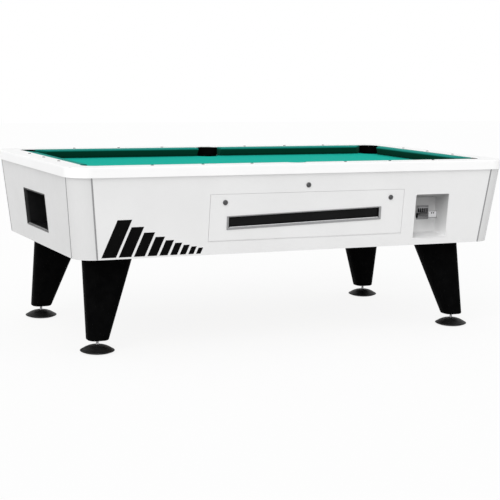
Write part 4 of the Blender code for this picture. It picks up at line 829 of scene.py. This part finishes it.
def pocket_lips():
    """White lip over every pocket's outer part, and the black throat under it."""
    under = LINER_TOP + SEAT
    foot, head = RAIL_FOOT + RAIL_LIFT, under - 2 * SEAT
    section = ((THROAT_OUT, foot), (THROAT_OUT, head), (THROAT_IN, head), (THROAT_IN, foot))
    for name, centre in POCKETS.items():
        corner = not name.startswith("side")
        sign_x, sign_y = signs(centre)
        inside = CORNER_LIP if corner else SIDE_LIP
        outside = (abs(centre.x), abs(centre.y), POCKET_CUT - CUT_SPARE)

        def section_at(circle, profile, step):
            x, y, radius = circle
            first, last = arc_ends(circle, corner)
            angle = first + (last - first) * step / LIP_STEPS
            return [(sign_x * (x + (radius + r) * cos(angle)), sign_y * (y + (radius + r) * sin(angle)), z)
                    for r, z in profile]

        outer = ((0.0, under), (0.0, RAIL_TOP - 2 * SEAT))
        inner = [(r, RAIL_TOP - down) for r, down in LIP_RIM] + [(0.0, under)]
        steps = range(LIP_STEPS + 1)
        lip = loft([section_at(outside, outer, step) + section_at(inside, inner, step) for step in steps])
        piece("pocket_lip_" + name, lip, WHITE_RAIL, "top_frame", 20)
        throat = loft([section_at(inside, section, step) for step in steps])
        piece("pocket_throat_" + name, throat, POCKET_BLACK, "top_frame")


def side_liners():
    """Side pocket liners with a rolled rim under the lip."""
    profile = tube_profile(LINER_RADIUS, RAIL_FOOT, LINER_TOP - SEAT, LINER_RIM)
    for name, turn in (("side_rear", 0.0), ("side_front", pi)):
        centre = POCKETS[name]
        tilt = asin((RAIL_IN_Y + RAIL_SPARE - abs(centre.y)) / LINER_RADIUS)
        bm = turned(profile, LIP_STEPS, centre, turn + tilt, pi - 2 * tilt)
        made = piece("rolled_liner_" + name, bm, POCKET_BLACK, "top_frame")
        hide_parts("pocket_liner_" + name)


# cushions

def bowed(start, end, steps, bow):
    """Points between two others, on a line bowed by (across, up)."""
    points = []
    for step in range(1, steps):
        share = step / steps
        points.append([a + (b - a) * share + c * sin(pi * share) for a, b, c in zip(start, end, bow)])
    return points


def cushion_profile():
    """(behind the nose, z) loop: back, crowned top, round nose, drawn-in face, foot."""
    top = RAIL_TOP - CUSHION_DROP
    edge_in, edge_down, edge_foot = CUSHION_EDGE
    shoulder = (CUSHION_BACK - edge_in, top - edge_down)
    foot = (CUSHION_FOOT, CUSHION_BOTTOM)
    nose = [(NOSE_RADIUS + d, BED_TOP + NOSE_HEIGHT + z) for d, z in arc(NOSE_RADIUS, *NOSE_ARC)]
    return [(CUSHION_BACK, CUSHION_BOTTOM), (CUSHION_BACK, top - edge_foot), shoulder,
            *bowed(shoulder, nose[0], 9, (0.0, CUSHION_CROWN)), *nose,
            *bowed(nose[-1], foot, 7, (CUSHION_HOLLOW, 0.0)), foot]


def cushion(node, span, facings, sign, at_end=False):
    """Cushion cut to its facings; sign is the side of the table."""
    rows = []
    for share in CUSHION_SHARES:
        row = []
        for d, z in cushion_profile():
            first = span[0] - d * tan(facings[0])
            last = span[1] + d * tan(facings[1])
            along = first + (last - first) * share
            row.append((sign * (FIELD_X + d), along, z) if at_end else (along, sign * (FIELD_Y + d), z))
        rows.append(row)
    made = piece(node + "_covered", loft(rows), CUSHION_CLOTH_PAINTED_SHADE, "top_frame", 50)
    bevel = made.modifiers.new("soft_edge", "BEVEL")
    bevel.width = SOFT_EDGE
    bevel.segments = 3
    bevel.limit_method = "ANGLE"
    bevel.angle_limit = SOFT_ANGLE
    settle(made)
    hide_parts(node)


def cushions():
    corner_x, corner_y, side = FIELD_X - LONG_MOUTH, FIELD_Y - SHORT_MOUTH, SIDE_MOUTH / 2
    for name, sign in (("rear", 1), ("front", -1)):
        cushion(f"cushion_{name}_left", (-corner_x, -side), (LONG_FACING, SIDE_FACING), sign)
        cushion(f"cushion_{name}_right", (side, corner_x), (SIDE_FACING, LONG_FACING), sign)
    for name, sign in (("right", 1), ("left", -1)):
        cushion(f"cushion_{name}_end", (-corner_y, corner_y), (SHORT_FACING, SHORT_FACING), sign, True)


# trim

def sights():
    """Three sights between every two pockets, let into the rails."""
    profile = [(0.0, -SIGHT_SINK), (SIGHT_RADIUS, -SIGHT_SINK), (SIGHT_RADIUS, SIGHT_HEIGHT * 0.4),
               (SIGHT_RADIUS * 0.8, SIGHT_HEIGHT * 0.85), (0.0, SIGHT_HEIGHT)]
    places = []
    for sign in (-1, 1):
        places += [(step * FIELD_X / 4, sign * (FIELD_Y + SIGHT_SETBACK)) for step in (-3, -2, -1, 1, 2, 3)]
        places += [(sign * (FIELD_X + SIGHT_SETBACK), step * FIELD_Y / 2) for step in (-1, 0, 1)]
    for index, (x, y) in enumerate(places):
        piece(f"sight_{index + 1}", lathe(profile, SIGHT_STEPS), SIGHT_GREY, "top_frame",
              matrix=Matrix.Translation((x, y, RAIL_TOP)))


def seam_strips():
    """Half-round strips over the joints beside the corner posts."""
    half = STRIP_WIDTH / 2
    section = [(-half, -STRIP_SINK), (half, -STRIP_SINK)]
    section += [(half * x, STRIP_HEIGHT * y ** STRIP_FULLNESS) for x, y in arc(1.0, 0, 180, STRIP_STEPS)]
    for side in SIDES:
        reach = (CABINET_X if side in ("front", "rear") else CABINET_Y) - CORNER_RADIUS
        for sign, end in ((-1, "a"), (1, "b")):
            rows = []
            for share, squeeze in STRIP_ROWS:
                z = CABINET_BOTTOM + STRIP_LIFT + (CABINET_TOP - CABINET_BOTTOM - STRIP_SHORT) * share
                at = face_frame(side, sign * (reach - drop(z)), z)
                rows.append([at @ Vector((x * squeeze, 0.0, out * squeeze)) for x, out in section])
            piece(f"seam_strip_{side}_{end}", loft(rows), SEAM_GREY, "cabinet")


def front_design():
    """Plain leaning bars at the front's lower left, smaller to the right."""
    x, tall, wide = BAR_LEFT, BAR_HEIGHT, BAR_WIDTH
    for index in range(BAR_COUNT):
        lean = tall * BAR_SLANT
        bm = slab([(0.0, 0.0), (wide, 0.0), (wide + lean, tall), (lean, tall)], *BAR_PLATE)
        piece(f"front_bar_{index + 1}", bm, DECAL_BLACK, "cabinet",
              matrix=face_frame("front", x, CABINET_BOTTOM + BAR_LIFT))
        x += wide + BAR_GAP
        tall *= BAR_HEIGHT_FALL
        wide *= BAR_WIDTH_FALL


def window_frame():
    """Aluminium frame that slopes in to the glass, with its beads; the lower bead's bright tone is partly a
    painted highlight.
    """
    low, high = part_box("window_frame")
    at = face_frame("front", (low.x + high.x) / 2, (low.z + high.z) / 2)
    at = at @ Matrix.Rotation(WINDOW_TILT, 4, "Z")
    x, y = WINDOW_HALF
    inside = (x - WINDOW_BAR, y - (WINDOW_BAR + WINDOW_TOP_BAR) / 2)
    rise = (WINDOW_BAR - WINDOW_TOP_BAR) / 2
    bm = ring(flat_loops(WINDOW_HALF, WINDOW_OUTSIDE) + flat_loops((x - CREST_SHORT, y), WINDOW_CREST)
              + flat_loops(inside, WINDOW_INSIDE, rise))
    made = piece("window_moulding", bm, ALUMINIUM, "access_door", 20, at)
    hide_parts("window_frame")
    at = at @ Matrix.Translation((0.0, rise, 0.0))
    inside = (inside[0] - BEAD_SPARE, inside[1] - BEAD_SPARE)
    piece("window_bead", ring(flat_loops(inside, BEAD)), RUBBER, "access_door", 40, at)
    bm = lower_bar(inside, GLAZING_BEAD)
    # bright metal bead whose light tone also stands as a painted highlight along the glass's lower edge
    piece("window_glazing_bead", bm, BRIGHT_BEAD_PAINTED_HIGHLIGHT, "access_door", matrix=at)


def return_bezel():
    """Grey frame that slopes in to the ball return, and its light sill."""
    low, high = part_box("return_box")
    at = face_frame("left", 0.0, (low.z + high.z) / 2)
    bm = ring(flat_loops(RETURN_HALF, RETURN_BEZEL))
    piece("return_bezel", bm, BEZEL_GREY, "cabinet", 25, at)
    bm = lower_bar(RETURN_HALF, RETURN_SILL)
    piece("return_sill", bm, SILL_GREY, "cabinet", 40, at)


def lock_faces():
    """Bevelled rim and keyed plug on every cylinder lock."""
    rim, plug = [[(r, LOCK_PROUD + out) for r, out in profile] for profile in (LOCK_RIM, LOCK_PLUG)]
    for name in ("top_lock", "door_lock_left", "door_lock_right"):
        place = JOINTS[name + "_turn"]["pos_m"]
        at = face_frame("front", place[0], place[2])
        piece(name + "_rim", turned(rim, LOCK_STEPS), LOCK_METAL, name, matrix=at)
        made = piece(name + "_plug", lathe(plug, LOCK_STEPS), LOCK_CORE, name, matrix=at)
        tools = []
        for x, y, size in KEY_CUTS:
            tool = bmesh.new()
            bmesh.ops.create_cube(tool, size=1.0, matrix=at @ Matrix.Translation((x, y, LOCK_PROUD + KEY_OUT))
                                  @ Matrix.Diagonal((*size, 1.0)))
            tools.append(tool)
        carve(made, tools)


# coin mechanism

def coin_tray():
    """Moulded tray of the coin recess, with its lip, drafted walls and the chute's opening."""
    chute_low, chute_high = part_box("coin_chute")
    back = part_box("coin_recess")[1].y - TRAY_SETBACK
    half_x = (chute_high.x - chute_low.x) / 2 - PASSAGE_SPARE
    passage = (SLIDE_X - half_x, SLIDE_X + half_x, FLANGE_LOW + PASSAGE_SPARE, FLANGE_HIGH - PASSAGE_SPARE)
    between = [(a + b) / 2 for a, b in zip(grown(RECESS, -TRAY_EASE), RECESS_BACK)]
    middle_y = (front_y((RECESS[2] + RECESS[3]) / 2) + back) / 2
    places = {"mouth": (RECESS, None), "between": (between, middle_y), "back": (RECESS_BACK, back),
              "passage": (passage, back)}
    loops = []
    for place, by, depth, radius in TRAY_LOOPS:
        sides, plane = places[place]
        loops.append(upright_loop(sides, by, depth, radius, plane))
    made = piece("coin_tray", ring(loops), TRAY_ENAMEL_PAINTED_SHADE, "cabinet", 40)
    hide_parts("coin_recess")
    lip = ring([upright_loop(RECESS, *row) for row in RECESS_LIP])
    piece("coin_recess_lip", lip, WHITE_BOARD, "cabinet", 50)
    outline = rounded_rectangle(SEAM_LENGTH / 2, TRAY_SEAM / 2, TRAY_SEAM / 3, 2)
    x = RECESS_BACK[0] + SEAM_INSET + SEAM_LENGTH / 2
    for name, z, look in (("upper", RECESS_BACK[3] - UPPER_SEAM, SIGHT_GREY),
                          ("lower", RECESS_BACK[2] + LOWER_SEAM, WHITE_METAL)):
        piece(f"coin_tray_seam_{name}", slab(outline, *SEAM_PLATE), look, "cabinet",
              matrix=Matrix.Translation((x, back + TRAY_FACE, z)) @ UPRIGHT)


def slot_tool(x, at):
    """Cutter of one arched coin slot."""
    outline = [(x - SLOT_HALF, SLOT_FOOT), (x + SLOT_HALF, SLOT_FOOT)]
    outline += [(x + px, SLOT_ARCH + py) for px, py in arc(SLOT_HALF, 0, 180, 8)]
    bm = loft([[at @ Vector((px, py, out)) for px, py in outline] for out in SLOT_DEPTH])
    bmesh.ops.recalc_face_normals(bm, faces=bm.faces)
    return bm


def coin_face():
    """Arched coin guides on the chute's face, and the finger plate on the slide's lip."""
    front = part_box("coin_chute")[0].y
    at = Matrix.Translation((SLIDE_X, front, COIN_Z + SLIDE_THICKNESS / 2)) @ UPRIGHT
    made = piece("coin_guide", slab(GUIDE_OUTLINE, *GUIDE_PLATE), STEEL, "cabinet", matrix=at)
    first = (COIN_SLOTS - 1) / 2
    carve(made, [slot_tool((index - first) * SLOT_PITCH, at) for index in range(COIN_SLOTS)])
    piece("coin_slot_shade", slab(SHADE_OUTLINE, *SHADE_PLATE), POCKET_BLACK, "cabinet", matrix=at)
    bm = slab(rounded_rectangle(*STOP_HALF, STOP_ROUND, 3), *STOP_PLATE)
    piece("chute_stop", bm, POCKET_BLACK, "cabinet", matrix=at @ Matrix.Translation(STOP_PLACE))
    half = ((SLIDE_HIGH.x - SLIDE_LOW.x) / 2 - 1.5 * SLIDE_EDGE,
            (SLIDE_HIGH.z - SLIDE_LOW.z) / 2 - 1.8 * SLIDE_EDGE)
    middle_z = (SLIDE_LOW.z + SLIDE_HIGH.z) / 2 + 0.8 * SLIDE_EDGE
    at = Matrix.Translation((SLIDE_X - SLIDE_EDGE / 2, SLIDE_LOW.y, middle_z)) @ UPRIGHT
    bm = loft(flat_loops(half, FINGER_PLATE))
    piece("slide_finger_plate", bm, CHROME, "coin_slide", 30, at)
    for index, x in enumerate((-RIVET_X, RIVET_X)):
        piece(f"slide_rivet_{index + 1}", lathe(RIVET, RIVET_STEPS), RUBBER, "coin_slide",
              matrix=at @ Matrix.Translation((x, RIVET_Y, 0.0)))


# door

def door_seam():
    """White liners in the door's gap, and the round edges on which its foot turns."""
    low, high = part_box("access_door")
    pivot = Vector(JOINTS["door_tilt"]["pos_m"])
    inner, outer = DOOR_GAP_SPAN
    left, right, top, foot = low.x, high.x, high.z, pivot.z
    bars = {"left": (left - outer, left - inner, foot, top + inner, DOOR_SIDE_SINK),
            "right": (right + inner, right + outer, foot, top + inner, DOOR_SIDE_SINK),
            "top": (left - outer, right + outer, top + 1.4 * inner, top + outer, DOOR_TOP_SINK)}
    for name, (x0, x1, z0, z1, sink) in bars.items():
        outline = [(x0, z0), (x1, z0), (x1, z1), (x0, z1)]
        bm = loft([[(x, front_y(z) + (sink + depth), z) for x, z in outline] for depth in LINER_DEPTHS])
        piece("door_gap_liner_" + name, bm, WHITE_BOARD, "cabinet")
    stations = (left + DOOR_SHORT, left + DOOR_STATION, right - DOOR_STATION, right - DOOR_SHORT)
    reach = pivot.z - low.z + DOOR_EDGE_DROP
    edge = [(pivot.y - y, pivot.z - z) for y, z in arc(reach, *DOOR_EDGE_ARC)
            + arc(reach - DOOR_EDGE, *DOOR_BACK_ARC)]
    bm = loft([[(x, y, z) for y, z in edge] for x in stations])
    piece("door_lower_edge", bm, WHITE_BOARD, "access_door")
    sill = [(front_y(z) + SILL_SINK, z) for z in (low.z - DOOR_GAP + SILL_LIFT, pivot.z - SILL_CREST)]
    crest = sill[1][0] + SEAT
    sill += [(max(pivot.y - y, crest), pivot.z - z) for y, z in arc(reach + DOOR_SPARE, *SILL_ARC)]
    bm = loft([[(x, y, z) for y, z in sill] for x in stations])
    piece("door_sill_strip", bm, WHITE_BOARD, "cabinet")


# legs and feet

def legs():
    """Lacquered legs that taper to a soft lower edge, with the stud's bore."""
    for corner in CORNERS:
        low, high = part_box("leg_" + corner)
        low.z += LEG_RISE
        length = high.z - low.z
        stud_low, stud_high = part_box("foot_stud_" + corner)
        foot = (stud_low + stud_high) / 2
        sign_x, sign_y = signs(foot)
        rows = []
        for up, inset in (*LEG_ROWS, (length, 0.0)):
            share = up / length
            half_x, half_y = [(b + (t - b) * share) / 2 - inset for b, t in zip(LEG_FOOT, LEG_TOP)]
            radius = LEG_FOOT_ROUND + (LEG_TOP_ROUND - LEG_FOOT_ROUND) * share - inset
            x, y = foot.x - sign_x * LEG_SPLAY[0] * share, foot.y - sign_y * LEG_SPLAY[1] * share
            section = rounded_rectangle(half_x, half_y, radius)
            rows.append([(x + px, y + py, low.z + up) for px, py in section])
        made = piece("lacquered_leg_" + corner, loft(rows), BLACK_WOOD, "cabinet")
        start, end = low.z - BORE_START, stud_high.z + BORE_SPARE
        carve(made, [round_tool((stud_high.x - stud_low.x) / 2 + STUD_SPARE,
                                (foot.x, foot.y, (start + end) / 2), end - start, BORE_STEPS)])
        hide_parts("leg_" + corner)


def foot_domes():
    """Foot pads with a blunt rim and a low collar round the stud's socket."""
    for corner in CORNERS:
        low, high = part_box("foot_pad_" + corner)
        stud_low, stud_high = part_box("foot_stud_" + corner)
        reach = PAD_GROWTH * (high.x - low.x) / 2
        tall = high.z - low.z
        socket = (stud_high.x - stud_low.x) / 2 + STUD_SPARE
        socket_foot = stud_low.z - low.z - STUD_SPARE
        dome = tall - PAD_COLLAR - RIM_HEIGHT
        profile = [(0.0, 0.0), (PAD_BASE, 0.0)]
        profile += [(reach + (PAD_BASE - reach) * share, RIM_HEIGHT * (1 - share) ** 2)
                    for share in PAD_UNDER]
        profile += [(reach - back, RIM_HEIGHT + up) for back, up in PAD_RIM]
        profile += [(PAD_BOSS + (reach - PAD_BOSS) * share, RIM_HEIGHT + dome * (1 - share ** 2))
                    for share in PAD_DOME]
        profile += [(PAD_BOSS + out, tall - down) for out, down in PAD_COLLAR_EDGE]
        profile += [(socket, tall), (socket, socket_foot), (0.0, socket_foot)]
        at = Matrix.Translation(((low.x + high.x) / 2, (low.y + high.y) / 2, low.z))
        made = piece("foot_dome_" + corner, lathe(profile, PAD_STEPS), PAD_BLACK, "foot_" + corner,
                     matrix=at)
        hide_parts("foot_pad_" + corner)


def stud_threads():
    """Cut thread on the studs of the feet, above their pads."""
    for corner in CORNERS:
        low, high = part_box("foot_stud_" + corner)
        radius = (high.x - low.x) / 2
        centre = (low + high) / 2
        count = int((high.z - low.z) / THREAD_PITCH * THREAD_ROWS)
        plain_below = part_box("foot_pad_" + corner)[1].z
        rows = []
        for z in [low.z + (high.z - low.z) * row / count for row in range(count + 1)]:
            loop = []
            for share in [column / THREAD_COLUMNS for column in range(THREAD_COLUMNS)]:
                phase = (z / THREAD_PITCH - share) % 1.0
                r = radius - (0.0 if z < plain_below else THREAD_DEPTH * abs(2.0 * phase - 1.0))
                angle = 2 * pi * share
                loop.append((centre.x + r * cos(angle), centre.y + r * sin(angle), z))
            rows.append(loop)
        made = piece("stud_thread_" + corner, loft(rows), BRIGHT_STEEL, "foot_" + corner, 60)
        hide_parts("foot_stud_" + corner)


# stage

def white_to_camera(tree, lit, white, output, share):
    """Mixes plain white into what camera, glossy and transmission rays see."""
    rays = add_node(tree, "LightPath").outputs
    seen = math_node(tree, "MAXIMUM", rays["Is Camera Ray"], rays["Is Glossy Ray"])
    seen = math_node(tree, "MAXIMUM", seen, rays["Is Transmission Ray"])
    mix = add_node(tree, "MixShader", Fac=math_node(tree, "MULTIPLY", seen, share))
    tree.links.new(lit, mix.inputs[1])
    tree.links.new(white, mix.inputs[2])
    tree.links.new(mix.outputs["Shader"], tree.nodes[output].inputs["Surface"])


def world():
    made = bpy.data.worlds.new("studio")
    made.use_nodes = True
    tree = made.node_tree
    sky = tree.nodes["Background"]
    sky.inputs["Color"].default_value = WHITE
    sky.inputs["Strength"].default_value = SKY_STRENGTH
    white = add_node(tree, "Background", Color=WHITE, Strength=1.0)
    white_to_camera(tree, sky.outputs["Background"], white.outputs["Background"], "World Output", 1.0)
    bpy.context.scene.world = made


def floor():
    bm = bmesh.new()
    bmesh.ops.create_grid(bm, x_segments=FLOOR_CELLS, y_segments=FLOOR_CELLS, size=FLOOR_SIZE / 2)
    made = add_mesh("floor", bm)
    look = shader("floor", grey(0.86), 0.9, specular=0.0)
    mottle(look, noise(look, 0.8), grey(0.855), grey(0.865))
    lit = principled(look).outputs["BSDF"]
    white = add_node(look.node_tree, "Emission", Strength=1.0).outputs["Emission"]
    white_to_camera(look.node_tree, lit, white, "Material Output", FLOOR_WHITE_SHARE)
    made.data.materials.append(look)


def direction(azimuth, elevation):
    """Unit vector from the table, by angles from its front."""
    return Vector((sin(azimuth) * cos(elevation), -cos(azimuth) * cos(elevation), sin(elevation)))


def sun():
    lamp = bpy.data.lights.new("key", "SUN")
    lamp.energy = SUN_STRENGTH
    lamp.angle = SUN_ANGLE
    made = add_object("key", lamp)
    made.rotation_euler = direction(SUN_AZIMUTH, SUN_ELEVATION).to_track_quat("Z", "Y").to_euler()


def camera():
    lens = bpy.data.cameras.new("camera")
    lens.sensor_fit = "HORIZONTAL"
    lens.sensor_width = SENSOR_WIDTH
    lens.lens = FOCAL_PIXELS * SENSOR_WIDTH / IMAGE_SIZE
    lens.shift_x = (IMAGE_SIZE / 2 - PRINCIPAL_POINT[0]) / IMAGE_SIZE
    lens.shift_y = (PRINCIPAL_POINT[1] - IMAGE_SIZE / 2) / IMAGE_SIZE
    made = add_object("camera", lens)
    back = direction(CAMERA_AZIMUTH, CAMERA_ELEVATION)
    right = Vector((0.0, 0.0, 1.0)).cross(back).normalized()
    up = back.cross(right)
    rolled_right = right * cos(CAMERA_ROLL) + up * sin(CAMERA_ROLL)
    rolled_up = up * cos(CAMERA_ROLL) - right * sin(CAMERA_ROLL)
    at = Matrix((rolled_right, rolled_up, back)).transposed().to_4x4()
    at.translation = CAMERA_TARGET + back * CAMERA_DISTANCE
    made.matrix_world = at
    bpy.context.scene.camera = made


for make in (dress_nodes, bed_cloth, pocket_sleeves, pocket_edge_bands, pocket_lips, side_liners, cushions,
             sights, seam_strips, front_design, window_frame, return_bezel, lock_faces, coin_tray, coin_face,
             door_seam, legs, foot_domes, stud_threads, world, floor, sun, camera):
    make()
bpy.context.scene.view_settings.view_transform = "Standard"
